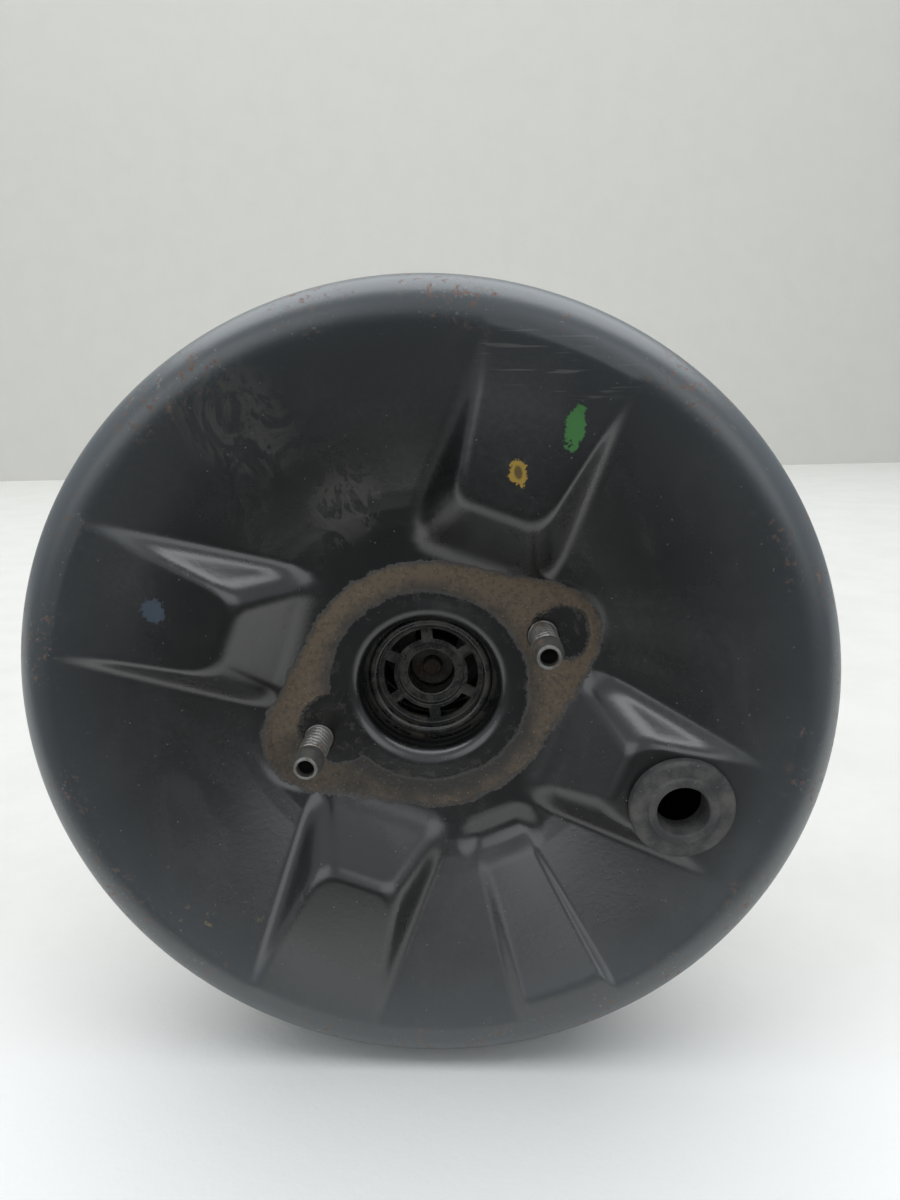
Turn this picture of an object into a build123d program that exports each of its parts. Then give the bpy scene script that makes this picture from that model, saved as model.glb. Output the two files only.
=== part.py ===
from build123d import *
import os
from math import atan, atan2, cos, degrees, radians, sin, sqrt, tan

# A vacuum brake booster. Every piece is turned or pressed about one axis, so it is drawn about Z,
# where a point is (radius, station) and stations grow from the bulkhead face towards the master
# cylinder. At the end each piece is laid over, so that the booster faces -Y with +Z up.

# ---- front shell: a pressed dish whose rolled rim stands proud of the master-cylinder seat ----
shell_radius = 130.0  # outside of the skirt
sheet = 2.0  # steel of both shells
seat_station = 82.0  # master-cylinder seat, ahead of the bulkhead face
seat_depth = 15.5  # from the rim plane, where the rim starts to round, down to the seat
rim_crown = 10.0  # the rim rises this far ahead of the rim plane
crown_width = 14.5  # from the skirt in to where the crown turns down into the dish
flank_width = 10.5  # steep inner flank of the crown
flank_drop = 6.8
seat_corner = 54.0  # radius at which the dish starts to rise from the seat
seat_bend = 80.0  # wide bend between seat and dish
flank_bend = 30.0
rim_bend = 10.0

# ---- four raised pads and one shallow raised sector of the dish ----
pad_count = 4
pad_turn = 69.5  # direction of the first pad, degrees from +X
pad_rise = 4.0  # flat top, ahead of the rim plane
pad_inner = shell_radius - 63.6  # radius of the pad's inner end
pad_nose = 13.9  # half width there
pad_flare = 9.8  # each side opens outwards, degrees
pad_reach = shell_radius - 18.0  # the top has run into the dish by this radius
pad_side_slope = 38.0  # walls, degrees from the axis
pad_end_slope = 47.0
pad_corner = 9.0
pad_edge = 5.0
sector_turn = -65.5
sector_half = 8.2
sector_sink = 0.1  # the sector starts this far under the dish's skin
sector_crown = 14.0  # the sector's flat runs up to this far inside the skirt
dimple_radius = 56.5  # pressed slot at the sector's foot: its distance from the axis
sector_inner = dimple_radius + 5.5
dimple_half = 9.0
dimple_ball = 6.8
dimple_depth = 2.2

# ---- master-cylinder seat ----
stud_line = 26.06  # direction of the line through both studs
stud_spacing = 85.7
stud_radius = 4.8
stud_shank = 5.2  # pressed through the plate and the shell
stud_length = 23.8  # ahead of the seat
stud_hole_gap = 0.3
stud_taper = 4.4  # the end narrows over this length
stud_tip = 3.9
stud_socket = 2.9
stud_socket_depth = 3.0
lobe_radius = 16.5
seat_round = 41.5
seat_wall_slope = 42.0
bore_radius = 23.3
collar_length = 10.0
lip_round = 3.5
lip_flange = 4.7
plate_thickness = 3.5
plate_round = 36.0
plate_lobe = 13.0
stud_head_radius = 9.0
stud_head = 4.5

# ---- check-valve grommet on the pad below the right-hand stud ----
grommet_turn = -21.7
grommet_place = pad_inner + 22.3
grommet_bore = 8.5
grommet_neck = 12.2
grommet_flange = 17.0
grommet_flange_thickness = 3.6
grommet_inner_flange = 13.4
grommet_inner_thickness = 2.6
grommet_lip = 11.4
grommet_lip_rise = 1.0
grommet_lip_slant = 0.8
grommet_mouth_round = 0.8

# ---- guide ring behind the bore ----
web_depth = 14.4  # spokes behind the seat
web_thickness = 2.0
hub_step = 2.1
hub_radius = 11.7
hub_bore = 8.2
hub_wall = 2.0
hub_length = 11.5
spoke_angle = 35.0
spoke_count = 6
spoke_width = 4.0
window_inner = 13.2
window_outer = 16.9
bead_inner = 18.8
bead_outer = 21.9
bead_round = 1.4
bead_groove = 1.6
moat_outer = 24.2
moat_wall = 2.3
guide_flange = 34.0
guide_flange_thickness = 1.5

# ---- crimped joint of the shells ----
crimp_radius = shell_radius + 4.0
flange_station = seat_station - 22.0  # rear face of the rear shell's flange
crimp_flare_top = flange_station + 10.0
crimp_flare_foot = flange_station + 6.5
crimp_lip = 5.4
crimp_tabs = 12
crimp_notch = 9.0

# ---- rear shell ----
neck_radius = 26.0
neck_length = 26.0
neck_lip = 21.0
face_radius = 62.0  # flat bulkhead face ends here
wall_radius = shell_radius - 12.0
wall_station = 38.0
shoulder_radius = wall_radius - 8.0
shoulder_station = wall_station - 14.0

# ---- bulkhead fixing ----
bulkhead_spacing = 66.0
bulkhead_stud_radius = 4.0
bulkhead_shank = 4.4  # pressed through the shell and its plate
bulkhead_stud_length = 28.0
bulkhead_head_radius = 7.5
bulkhead_head = 3.6
stud_plate_thickness = 3.0
stud_plate_margin = 11.0  # from a stud's centre to the plate's edge
stud_plate_width = bulkhead_spacing + 2 * stud_plate_margin
stud_plate_corner = 12.0
stud_plate_hole = 30.0
gasket_thickness = 2.0
gasket_inner = 28.5
gasket_outer = 40.0

# ---- piston: valve body, plate and diaphragm ----
sleeve_radius = 19.5
sleeve_end = -62.0
hub_outer = 24.0
hub_front = 21.5
hub_back = 5.5
front_bore = 14.8
disc_back = 11.0
disc_thickness = 6.0
stem_bore = 5.02
plunger_bore = 8.3
plunger_bore_front = 0.0
seat_bore = 10.2
seat_bore_front = -9.8
vacuum_seat = -15.2
vacuum_seat_wall = 1.8
rear_bore = 15.5
rear_bore_front = -13.0
groove_depth = 3.8
groove_front = 10.0
groove_back = 6.4
plate_sheet = 1.5
plate_back = 12.0
plate_flat = 56.0
plate_edge = wall_radius - 14.0
plate_edge_station = 32.0
plate_lip_radius = wall_radius - 10.0
plate_lip_station = 41.0
rubber = 1.8
heel_width = 2.2  # the inner bead stands this far out of its groove
soft_gap = 0.3
bead_width = 7.4
bead_gap = 0.3
cup_sheet = 1.2
cup_flange = 33.0
cup_mouth = 8.8

# ---- output rod ----
rod_radius = 8.12
rod_head_radius = 14.5
rod_head = 3.7
rod_front = 57.0
screw_radius = 3.5
screw_front = 61.0
screw_length = 17.0

# ---- return spring ----
return_wire = 3.8
return_mean = 28.8
return_turns = 5.5

# ---- control valve in the valve body ----
running = 0.07  # radial clearance of a sliding fit
plunger_travel = 2.0
key_thickness = 2.5
key_back = 1.6
key_width = 12.0
key_reach = 22.5
key_play = 0.2
groove_radius = 3.4
plunger_body = 8.0
plunger_body_front = -2.5
plunger_flange = 9.6
plunger_flange_front = -12.4
plunger_seat = -16.0
ball_station = -9.0
ball_radius = 4.0
rod_neck = 2.6
poppet_thickness = 2.0
poppet_bore = 6.8
poppet_outer = 14.2
poppet_wall = 1.0
poppet_bead_front = -28.0
poppet_bead = 3.0
ring_bore = 7.5
ring_outer = 12.6
ring_thickness = 1.0
retainer_sheet = 1.0
retainer_bore = 8.8
retainer_front = -27.0
retainer_socket = 11.2
poppet_wire = 1.0
poppet_spring_turns = 3.5
input_wire = 1.6
input_turns = 5.0
collar_front = -46.0
collar_thickness = 2.0
collar_radius = 11.5
filter_bore = 8.6
silencer_front = -50.8
filter_front = -54.6
filter_back = -60.8

# ---- input rod and clevis ----
input_radius = 5.0
taper_front = -20.0
taper_back = -30.0
shoulder_rise = 1.5
shoulder_thickness = 2.0
input_end = -101.0
nut_flats = 17.0
nut_front = -82.0
nut_thickness = 5.0
clevis_hub_radius = 9.0
clevis_hub = 12.0
clevis_gap = 14.0
clevis_ear = 5.0
clevis_length = 25.0
clevis_width = 20.0
pin_radius = 5.0
pin_setback = 17.0

# ---- seal, bearing and dust boot at the rear neck ----
seal_length = 7.6
seal_lip = 0.3
bearing_length = 9.0
star_thickness = 1.2
star_bore = 20.4
star_teeth = 10
boot_rubber = 1.0
boot_grip = 12.0
fold_outer = 28.6
fold_inner = 22.4
fold_pitch = 6.2
fold_count = 5
fold_round = 1.15
cap_bore = 9.5
cap_grip = 3.8
vent_count = 8
vent_radius = 1.8
vent_circle = 14.6

rim_plane = seat_station + seat_depth
rear_flange_radius = crimp_radius - sheet - soft_gap
stud_place = stud_spacing / 2


# ---------------------------------------------------------------- helpers
def parallel(corners, distance):
    """The same outline moved to its left by distance, with each rounding grown or shrunk to suit."""
    moved = []
    for index, (radius, station, rounding) in enumerate(corners):
        before = corners[max(index - 1, 0)]
        after = corners[min(index + 1, len(corners) - 1)]
        heading_in = atan2(station - before[1], radius - before[0])
        heading_out = atan2(after[1] - station, after[0] - radius)
        if index == 0:
            heading_in = heading_out
        if index == len(corners) - 1:
            heading_out = heading_in
        turn = (heading_out - heading_in + radians(180)) % radians(360) - radians(180)
        middle = heading_in + turn / 2
        reach = distance / cos(turn / 2)
        change = -distance if turn > 0 else distance
        new_rounding = max(rounding + change, 0) if rounding else 0
        moved.append((radius - reach * sin(middle), station + reach * cos(middle), new_rounding))
    return moved


def outline(corners):
    """A closed face in the radius and station plane, its corners rounded where they ask for it."""
    points = [(radius, station) for radius, station, _ in corners]
    rounds = [rounding for _, _, rounding in corners]
    return make_face(FilletPolyline(*points, radius=rounds, close=True))


def turned(*corners):
    """A solid of revolution from (radius, station) or (radius, station, rounding) corners."""
    full = [(*corner, 0)[:3] for corner in corners]
    return revolve(Plane.XZ * outline(full), Axis.Z)


def pressed(thickness, *corners):
    """A turned sheet: the corners give one skin, and the sheet lies to the left of it."""
    skin = [(*corner, 0)[:3] for corner in corners]
    return turned(*skin, *reversed(parallel(skin, thickness)))


def tube(inner, outer, back, front):
    return turned((inner, back), (outer, back), (outer, front), (inner, front))


def rod(radius, back, front):
    return Pos(0, 0, back) * extrude(Circle(radius), front - back)


def coil(mean, wire, back, front, turns):
    """A helical spring that lies between two faces."""
    height = front - back - wire
    line = Pos(0, 0, back + wire / 2) * Helix(height / turns, height, mean)
    section = Plane(origin=line @ 0, z_dir=line % 0) * Circle(wire / 2)
    return sweep(section, path=line, is_frenet=True)


def at_turn(angle, place):
    """Where a feature stands: an angle from +X and a distance from the axis."""
    return Rot(0, 0, angle) * Pos(place, 0, 0)


def wall_inset(slope, drop):
    """How far a tapered wall's top edge comes in when its skin moves drop into the metal."""
    return drop * (1 - sin(radians(slope))) / cos(radians(slope))


# ---------------------------------------------------------------- front shell
crimp_foot = flange_station - sheet
front_skin = [
    (0, seat_station, 0),
    (seat_corner, seat_station, seat_bend),
    (shell_radius - crown_width - flank_width, rim_plane + rim_crown - flank_drop, flank_bend),
    (shell_radius - crown_width, rim_plane + rim_crown, rim_bend),
    (shell_radius, rim_plane + rim_crown, rim_bend),
    (shell_radius, crimp_flare_top, 4),
    (crimp_radius, crimp_flare_foot, 3),
    (crimp_radius, crimp_foot, 2.2),
    (crimp_radius - crimp_lip, crimp_foot, 0),
]


def pad_form(drop):
    """One raised pad: a flat top with tapered sides, narrower at its inner end."""
    top = rim_plane + pad_rise - drop
    bottom = seat_station - 2 * sheet
    flare = tan(radians(pad_flare))
    inner = pad_inner + wall_inset(pad_end_slope, drop)
    nose = pad_nose - wall_inset(pad_side_slope, drop)
    outer_width = nose + (pad_reach - inner) * flare
    side_run = (top - bottom) * tan(radians(pad_side_slope))
    end_run = (top - bottom) * tan(radians(pad_end_slope))
    foot_nose = nose - end_run * flare + side_run
    foot_width = outer_width + side_run
    upper = Polygon((inner, -nose), (pad_reach, -outer_width), (pad_reach, outer_width), (inner, nose),
                    align=None)
    lower = Polygon((inner - end_run, -foot_nose), (pad_reach, -foot_width), (pad_reach, foot_width),
                    (inner - end_run, foot_nose), align=None)
    block = loft([Pos(0, 0, bottom) * lower, Pos(0, 0, top) * upper], ruled=True)
    upright = block.edges().filter_by(lambda edge: abs((edge @ 0).Z - (edge @ 1).Z) > sheet)
    block = fillet(upright.sort_by(Axis.X)[:2], pad_corner - drop)
    rim = block.faces().sort_by(Axis.Z)[-1].edges().sort_by(Axis.X)[:-1]
    return fillet(rim, pad_edge - drop)


def dish_slope():
    run = shell_radius - crown_width - flank_width - seat_corner
    return (rim_plane + rim_crown - flank_drop - seat_station) / run


def dish_level(radius):
    """Station of the dish's skin, where a wide bend eases the flat seat into the slope."""
    angle = atan(dish_slope())
    bend_start = seat_corner - seat_bend * tan(angle / 2)
    if radius <= bend_start:
        return seat_station
    if radius <= bend_start + seat_bend * sin(angle):
        return seat_station + seat_bend - sqrt(seat_bend**2 - (radius - bend_start) ** 2)
    return seat_station + (radius - seat_corner) * dish_slope()


def sector_form(drop):
    """The shallow raised sector that fills the dish between two pads."""
    floor = seat_station - 2 * sheet
    start = dish_level(sector_inner) - sector_sink
    crown = rim_plane + rim_crown
    fall = drop / cos(atan2(crown - start, shell_radius - sector_crown - sector_inner))
    face = outline([
        (sector_inner, start - fall, 0),
        (shell_radius - sector_crown, crown - fall, 0),
        (shell_radius - sector_crown, floor, 0),
        (sector_inner, floor, 0),
    ])
    margin = degrees(drop / shell_radius)
    wedge = revolve(Plane.XZ * face, Axis.Z, 2 * (sector_half - margin))
    return Rot(0, 0, sector_turn - sector_half + margin) * wedge


def lobes(round_radius, lobe):
    """The seat outline: a circle round the bore drawn out to a lobe at each stud."""
    ends = Pos(stud_place, 0) * Circle(lobe) + Pos(-stud_place, 0) * Circle(lobe)
    return Rot(0, 0, stud_line) * make_hull((Circle(round_radius) + ends).edges())


def seat_pocket(drop):
    grow = -wall_inset(seat_wall_slope, drop)
    flat = lobes(seat_round - grow, lobe_radius - grow)
    return extrude(Pos(0, 0, seat_station - drop) * flat, seat_depth, taper=-seat_wall_slope)


def dimple(drop):
    """A pressed slot, round ended and round bottomed, across the sector's foot."""
    ball = dimple_ball + drop
    level = dish_level(dimple_radius) + dimple_ball - dimple_depth
    bar = Rot(90, 0, 0) * extrude(Circle(ball), dimple_half, both=True)
    ends = Pos(0, dimple_half, 0) * Sphere(ball) + Pos(0, -dimple_half, 0) * Sphere(ball)
    return Pos(0, 0, level) * at_turn(sector_turn, dimple_radius) * (bar + ends)


def front_form(drop):
    """All that lies behind the front wall's skin; drop moves the skin into the metal."""
    skin = parallel(front_skin, -drop) if drop else front_skin
    last = skin[-1]
    floor = last[1] if not drop else last[1] - 4 * sheet
    tail = [(last[0], floor, 0), (0, floor, 0)] if drop else [(0, floor, 0)]
    form = turned(*skin, *tail)
    for index in range(pad_count):
        form += Rot(0, 0, pad_turn + index * 360 / pad_count) * pad_form(drop)
    form += sector_form(drop)
    form -= seat_pocket(drop)
    return form - dimple(drop)


def bore_lip():
    """The shell is drawn inwards round the bore as a collar with a rounded mouth."""
    outer = bore_radius + sheet
    foot = bore_radius + lip_flange
    collar_end = seat_station - collar_length
    return turned(
        (bore_radius, collar_end),
        (outer, collar_end),
        (outer, seat_station - sheet, lip_round - sheet),
        (foot, seat_station - sheet),
        (foot, seat_station),
        (bore_radius, seat_station, lip_round),
    )


def crimp_notches():
    """Gaps between the tabs that are pressed over the rear shell's flange."""
    notch = Pos(crimp_radius - crimp_lip, 0, crimp_foot) * Box(
        2 * (crimp_lip - sheet), crimp_notch, 2 * sheet)
    return [Rot(0, 0, index * 360 / crimp_tabs) * notch for index in range(crimp_tabs)]


def front_shell():
    shell = front_form(0) - front_form(sheet)
    shell -= rod(bore_radius + lip_flange, seat_station - collar_length, seat_station + sheet)
    shell += bore_lip()
    for side in (0, 180):
        shell -= Rot(0, 0, stud_line + side) * Pos(stud_place, 0, 0) * rod(
            stud_shank + stud_hole_gap, seat_station - 2 * sheet, seat_station + sheet)
    shell -= at_turn(grommet_turn, grommet_place) * rod(
        grommet_neck, seat_station, rim_plane + rim_crown)
    for notch in crimp_notches():
        shell -= notch
    return shell


# ---------------------------------------------------------------- fixed pieces at the front
def front_plate():
    """Thick plate behind the seat that carries both studs."""
    front = seat_station - sheet
    plate = Pos(0, 0, front - plate_thickness) * extrude(lobes(plate_round, plate_lobe), plate_thickness)
    plate -= rod(bore_radius + lip_flange + 0.5, front - 2 * plate_thickness, front + 1)
    for side in (0, 180):
        hole = rod(stud_shank, front - 2 * plate_thickness, front + 1)
        plate -= Rot(0, 0, stud_line + side) * Pos(stud_place, 0, 0) * hole
    return plate


def mc_stud():
    """A headed stud: its shank is pressed in, and its narrowed end has a socket."""
    head_front = seat_station - sheet - plate_thickness
    tip = seat_station + stud_length
    return turned(
        (0, head_front - stud_head),
        (stud_head_radius, head_front - stud_head, 1),
        (stud_head_radius, head_front),
        (stud_shank, head_front),
        (stud_shank, seat_station),
        (stud_radius, seat_station),
        (stud_radius, tip - stud_taper),
        (stud_tip, tip),
        (stud_socket, tip),
        (stud_socket, tip - stud_socket_depth),
        (0, tip - stud_socket_depth - 1),
    )


def mc_studs():
    return [Rot(0, 0, stud_line + side) * Pos(stud_place, 0, 0) * mc_stud() for side in (0, 180)]


def check_valve_grommet():
    """Rubber ring that snaps into the shell and takes the check valve's stem."""
    face = rim_plane + pad_rise
    back = face - sheet
    mouth = face + grommet_flange_thickness + grommet_lip_rise
    ring = turned(
        (grommet_bore, back - grommet_inner_thickness),
        (grommet_inner_flange - 1, back - grommet_inner_thickness, 1),
        (grommet_inner_flange, back),
        (grommet_neck, back),
        (grommet_neck, face),
        (grommet_flange, face),
        (grommet_flange, face + grommet_flange_thickness, 1.4),
        (grommet_lip, face + grommet_flange_thickness),
        (grommet_lip - grommet_lip_slant, mouth, 0.4),
        (grommet_bore, mouth, grommet_mouth_round),
    )
    return at_turn(grommet_turn, grommet_place) * ring


def guide_ring():
    """Moulded ring behind the bore: a spoked web round the hub tube that guides the output rod."""
    collar_end = seat_station - collar_length
    web = seat_station - web_depth
    hub = web - hub_step
    back = hub - hub_length
    ring = turned(
        (hub_bore, back),
        (hub_bore, hub, 0.6),
        (hub_radius, hub),
        (hub_radius, web),
        (bead_inner, web),
        (bead_inner, collar_end, bead_round),
        (bead_outer, collar_end, bead_round),
        (bead_outer, collar_end - bead_groove),
        (moat_outer, collar_end - bead_groove),
        (moat_outer, collar_end),
        (guide_flange, collar_end),
        (guide_flange, collar_end - guide_flange_thickness),
        (moat_outer + moat_wall, collar_end - guide_flange_thickness, 1),
        (bead_outer, web - web_thickness, 1),
        (hub_radius + 1, web - web_thickness, 1),
        (hub_bore + hub_wall, hub - 2 * web_thickness),
        (hub_bore + hub_wall, back),
    )
    slots = Circle(window_outer) - Circle(window_inner)
    for index in range(spoke_count):
        turn = spoke_angle + index * 360 / spoke_count
        slots -= Rot(0, 0, turn) * Pos(window_outer, 0) * Rectangle(window_outer, spoke_width)
    return ring - Pos(0, 0, web - 2 * web_thickness) * extrude(slots, 3 * web_thickness)


def return_spring():
    front = seat_station - collar_length - guide_flange_thickness
    back = plate_back + plate_sheet + cup_sheet
    return coil(return_mean, return_wire, back + soft_gap, front - soft_gap / 3, return_turns)


# ---------------------------------------------------------------- rear shell and bulkhead fixing
def bulkhead_places():
    """Four places at the corners of the bulkhead's stud square."""
    half = bulkhead_spacing / 2
    return [Pos(x, y, 0) for x in (-half, half) for y in (-half, half)]


def rear_shell():
    """Pressed rear shell: neck, flat bulkhead face, shoulder, wall and the flange that is crimped."""
    shell = pressed(
        sheet,
        (neck_lip, -neck_length),
        (neck_radius, -neck_length, 1.2),
        (neck_radius, 0, 1.5),
        (face_radius, 0, 9),
        (shoulder_radius, shoulder_station, 12),
        (wall_radius, wall_station, 12),
        (wall_radius, flange_station, 2.5),
        (rear_flange_radius, flange_station),
    )
    for place in bulkhead_places():
        shell -= place * rod(bulkhead_shank, -sheet, 2 * sheet)
    return shell


def rear_stud_plate():
    front = sheet + stud_plate_thickness
    plate = Rectangle(stud_plate_width, stud_plate_width)
    plate = fillet(plate.vertices(), stud_plate_corner) - Circle(stud_plate_hole)
    solid = Pos(0, 0, sheet) * extrude(plate, stud_plate_thickness)
    for place in bulkhead_places():
        solid -= place * rod(bulkhead_shank, 0, 2 * front)
    return solid


def bulkhead_studs():
    front = sheet + stud_plate_thickness
    stud = turned(
        (0, -bulkhead_stud_length),
        (bulkhead_stud_radius - 0.8, -bulkhead_stud_length),
        (bulkhead_stud_radius, 1 - bulkhead_stud_length),
        (bulkhead_stud_radius, 0),
        (bulkhead_shank, 0),
        (bulkhead_shank, front),
        (bulkhead_head_radius, front),
        (bulkhead_head_radius, front + bulkhead_head, 1),
        (0, front + bulkhead_head),
    )
    return [place * stud for place in bulkhead_places()]


def bulkhead_gasket():
    """Foam ring that seals the neck's hole in the bulkhead."""
    return tube(gasket_inner, gasket_outer, -gasket_thickness, 0)


def rear_bearing():
    """Plastic sleeve that the valve body slides in."""
    back = sheet - neck_length + seal_length
    return tube(sleeve_radius + running, neck_radius - sheet, back, back + bearing_length)


def rear_seal():
    """Rubber lip seal behind the bearing."""
    back = sheet - neck_length
    inner = sleeve_radius + running
    outer = neck_radius - sheet
    return turned(
        (inner + seal_lip + 0.8, back),
        (outer, back),
        (outer, back + seal_length),
        (inner + 1.6, back + seal_length),
        (inner + 1.6, back + 4.2),
        (inner, back + 2.4, 0.3),
    )


def bearing_retainer():
    """Spring-steel star washer that keeps the bearing and seal in the neck."""
    back = sheet - neck_length + seal_length + bearing_length
    ring = tube(star_bore, neck_radius - sheet, back, back + star_thickness)
    slot = Pos(star_bore, 0, back) * Box(3, 1.2, 4 * star_thickness)
    for index in range(star_teeth):
        ring -= Rot(0, 0, index * 360 / star_teeth) * slot
    return ring


def dust_boot():
    """Rubber bellows from the neck to the end of the valve body, with vents in its end cap."""
    grip = neck_radius + boot_rubber + soft_gap / 3
    start = -neck_length + boot_grip
    corners = [(grip, start), (grip, -neck_length - 1.5, fold_round)]
    for index in range(fold_count):
        station = -neck_length - 1.5 - index * fold_pitch
        corners.append((fold_inner, station - fold_pitch * 0.25, fold_round))
        corners.append((fold_outer, station - fold_pitch * 0.75, fold_round))
    cap_grip_radius = sleeve_radius + boot_rubber + soft_gap
    cap = sleeve_end - soft_gap - boot_rubber
    corners.append((cap_grip_radius, cap + cap_grip, fold_round))
    corners.append((cap_grip_radius, cap, fold_round + 0.5))
    corners.append((cap_bore, cap))
    boot = pressed(-boot_rubber, *corners)
    for index in range(vent_count):
        boot -= at_turn(index * 360 / vent_count, vent_circle) * rod(vent_radius, cap - 1, cap + 3)
    return boot


# ---------------------------------------------------------------- diaphragm and plate
plate_skin = [
    (hub_outer + soft_gap, plate_back, 0),
    (plate_flat, plate_back, 8),
    (plate_edge, plate_edge_station, 6),
    (plate_lip_radius, plate_lip_station, 0),
]


def diaphragm_plate():
    return pressed(plate_sheet, *plate_skin)


def diaphragm():
    """Rolling rubber diaphragm: inner bead in the valve body, outer bead under the crimp."""
    skin = parallel(plate_skin, -soft_gap - rubber)
    wall = wall_radius - sheet - soft_gap
    top = flange_station + sheet
    heel_inner = hub_outer - groove_depth + soft_gap
    heel_outer = hub_outer + heel_width
    heel_back = groove_back + soft_gap
    lip = skin[-1]
    skin[-1] = (lip[0], lip[1], 3)
    web = pressed(
        rubber,
        *skin,
        (wall, lip[1] + 8, 4),
        (wall, top, 4.5),
        (crimp_radius - sheet - bead_width, top),
    )
    bead_outer_radius = crimp_radius - sheet - bead_gap
    shoulder = crimp_flare_top - sheet - bead_gap
    bead = turned(
        (crimp_radius - sheet - bead_width, top),
        (bead_outer_radius, top),
        (bead_outer_radius, crimp_flare_foot - 1),
        (shell_radius - sheet - bead_gap, shoulder),
        (crimp_radius - sheet - bead_width, shoulder),
    )
    heel = tube(heel_inner, heel_outer, heel_back, groove_front - soft_gap)
    neck = tube(hub_outer + soft_gap, heel_outer, heel_back, plate_back - soft_gap)
    return web + bead + heel + neck


def spring_seat_cup():
    """Pressed cup that keeps the output rod in the valve body and seats the return spring."""
    return pressed(
        -cup_sheet,
        (cup_mouth, hub_front + cup_sheet),
        (hub_outer + cup_sheet + 0.1, hub_front + cup_sheet, cup_sheet + 0.6),
        (hub_outer + cup_sheet + 0.1, plate_back + plate_sheet + cup_sheet, 1),
        (cup_flange, plate_back + plate_sheet + cup_sheet),
    )


# ---------------------------------------------------------------- valve body and output rod
def valve_body():
    """Moulded piston hub and rear sleeve, bored for the reaction disc and the control valve."""
    neck = hub_outer - groove_depth
    body = turned(
        (front_bore, hub_front),
        (front_bore, disc_back),
        (stem_bore, disc_back),
        (stem_bore, plunger_bore_front),
        (plunger_bore, plunger_bore_front),
        (plunger_bore, seat_bore_front),
        (seat_bore, seat_bore_front),
        (seat_bore, vacuum_seat, 0.4),
        (seat_bore + vacuum_seat_wall, vacuum_seat, 0.4),
        (seat_bore + vacuum_seat_wall, rear_bore_front),
        (rear_bore, rear_bore_front),
        (rear_bore, sleeve_end),
        (sleeve_radius, sleeve_end, 0.8),
        (sleeve_radius, hub_back - 1),
        (hub_outer, hub_back),
        (hub_outer, groove_back),
        (neck, groove_back),
        (neck, groove_front),
        (hub_outer, groove_front),
        (hub_outer, hub_front, 0.6),
    )
    slot_length = key_reach + 8
    slot = Pos(4 - slot_length / 2, 0, key_back + key_thickness / 2) * Box(
        slot_length, key_width + 2 * key_play, key_thickness + 2 * key_play)
    return body - slot


def reaction_disc():
    return rod(front_bore - key_play, disc_back, disc_back + disc_thickness)


def output_rod():
    head_back = disc_back + disc_thickness
    return turned(
        (0, head_back),
        (rod_head_radius, head_back, 0.6),
        (rod_head_radius, head_back + rod_head, 0.6),
        (rod_radius, head_back + rod_head, 1),
        (rod_radius, rod_front, 0.8),
        (screw_radius, rod_front),
        (screw_radius, screw_front - screw_length),
        (0, screw_front - screw_length),
    )


def output_rod_screw():
    return turned(
        (0, screw_front - screw_length),
        (screw_radius, screw_front - screw_length),
        (screw_radius, screw_front - 1, 0.8),
        (screw_radius - 1.2, screw_front, 0.8),
        (0, screw_front),
    )


# ---------------------------------------------------------------- control valve
def plunger():
    """Air-valve plunger: grooved stem, ball socket and the rear face that seats on the poppet."""
    stem = stem_bore - running
    groove_top = key_back + key_thickness + key_play
    groove_foot = key_back - plunger_travel - key_play
    stem_front = disc_back - plunger_travel - key_play
    body = turned(
        (0, stem_front),
        (stem, stem_front, 0.4),
        (stem, groove_top),
        (groove_radius, groove_top),
        (groove_radius, groove_foot),
        (stem, groove_foot),
        (stem, plunger_body_front),
        (plunger_body, plunger_body_front, 0.5),
        (plunger_body, plunger_flange_front),
        (plunger_flange, plunger_flange_front, 0.4),
        (plunger_flange, plunger_seat, 0.4),
        (ball_radius + 1.5, plunger_seat),
        (ball_radius - 0.6, ball_station - 3),
        (0, ball_station - 3),
    )
    return body - Pos(0, 0, ball_station) * Sphere(ball_radius + running)


def stop_key():
    """Forked key through the valve body that limits the plunger's travel."""
    back = key_back
    length = key_reach + 3
    key = Pos(3 - length / 2, 0, back + key_thickness / 2) * Box(length, key_width, key_thickness)
    throat = rod(groove_radius + key_play, back - 1, back + 2 * key_thickness)
    mouth = Pos(4, 0, back + key_thickness / 2) * Box(
        8, 2 * (groove_radius + key_play), 2 * key_thickness)
    return key - throat - mouth


def control_poppet():
    """Rubber poppet: a flat face on a thin bellows wall whose bead the retainer holds."""
    face = plunger_seat - soft_gap
    outer = rear_bore - 0.1
    return turned(
        (poppet_bore, face),
        (poppet_bore, face - poppet_thickness),
        (poppet_outer - poppet_wall, face - poppet_thickness),
        (poppet_outer - poppet_wall, poppet_bead_front),
        (retainer_socket + retainer_sheet + 0.2, poppet_bead_front),
        (retainer_socket + retainer_sheet + 0.2, poppet_bead_front - poppet_bead),
        (outer, poppet_bead_front - poppet_bead),
        (outer, poppet_bead_front, 0.5),
        (poppet_outer, poppet_bead_front, 0.3),
        (poppet_outer, face, 0.8),
    )


def poppet_ring():
    front = plunger_seat - 2 * soft_gap - poppet_thickness
    return tube(ring_bore, ring_outer, front - ring_thickness, front)


def poppet_retainer():
    """Pressed cup in the sleeve that holds the poppet's bead and seats both small springs."""
    back = poppet_bead_front - poppet_bead - retainer_sheet
    return pressed(
        retainer_sheet,
        (retainer_bore, retainer_front - retainer_sheet),
        (retainer_socket, retainer_front - retainer_sheet, 0.4),
        (retainer_socket, back, 0.4),
        (rear_bore - 0.05, back),
    )


def poppet_spring():
    front = plunger_seat - 2 * soft_gap - poppet_thickness - ring_thickness
    mean = (retainer_bore + retainer_socket) / 2 - 0.1
    return coil(mean, poppet_wire, retainer_front + 0.1, front - soft_gap, poppet_spring_turns)


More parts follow.
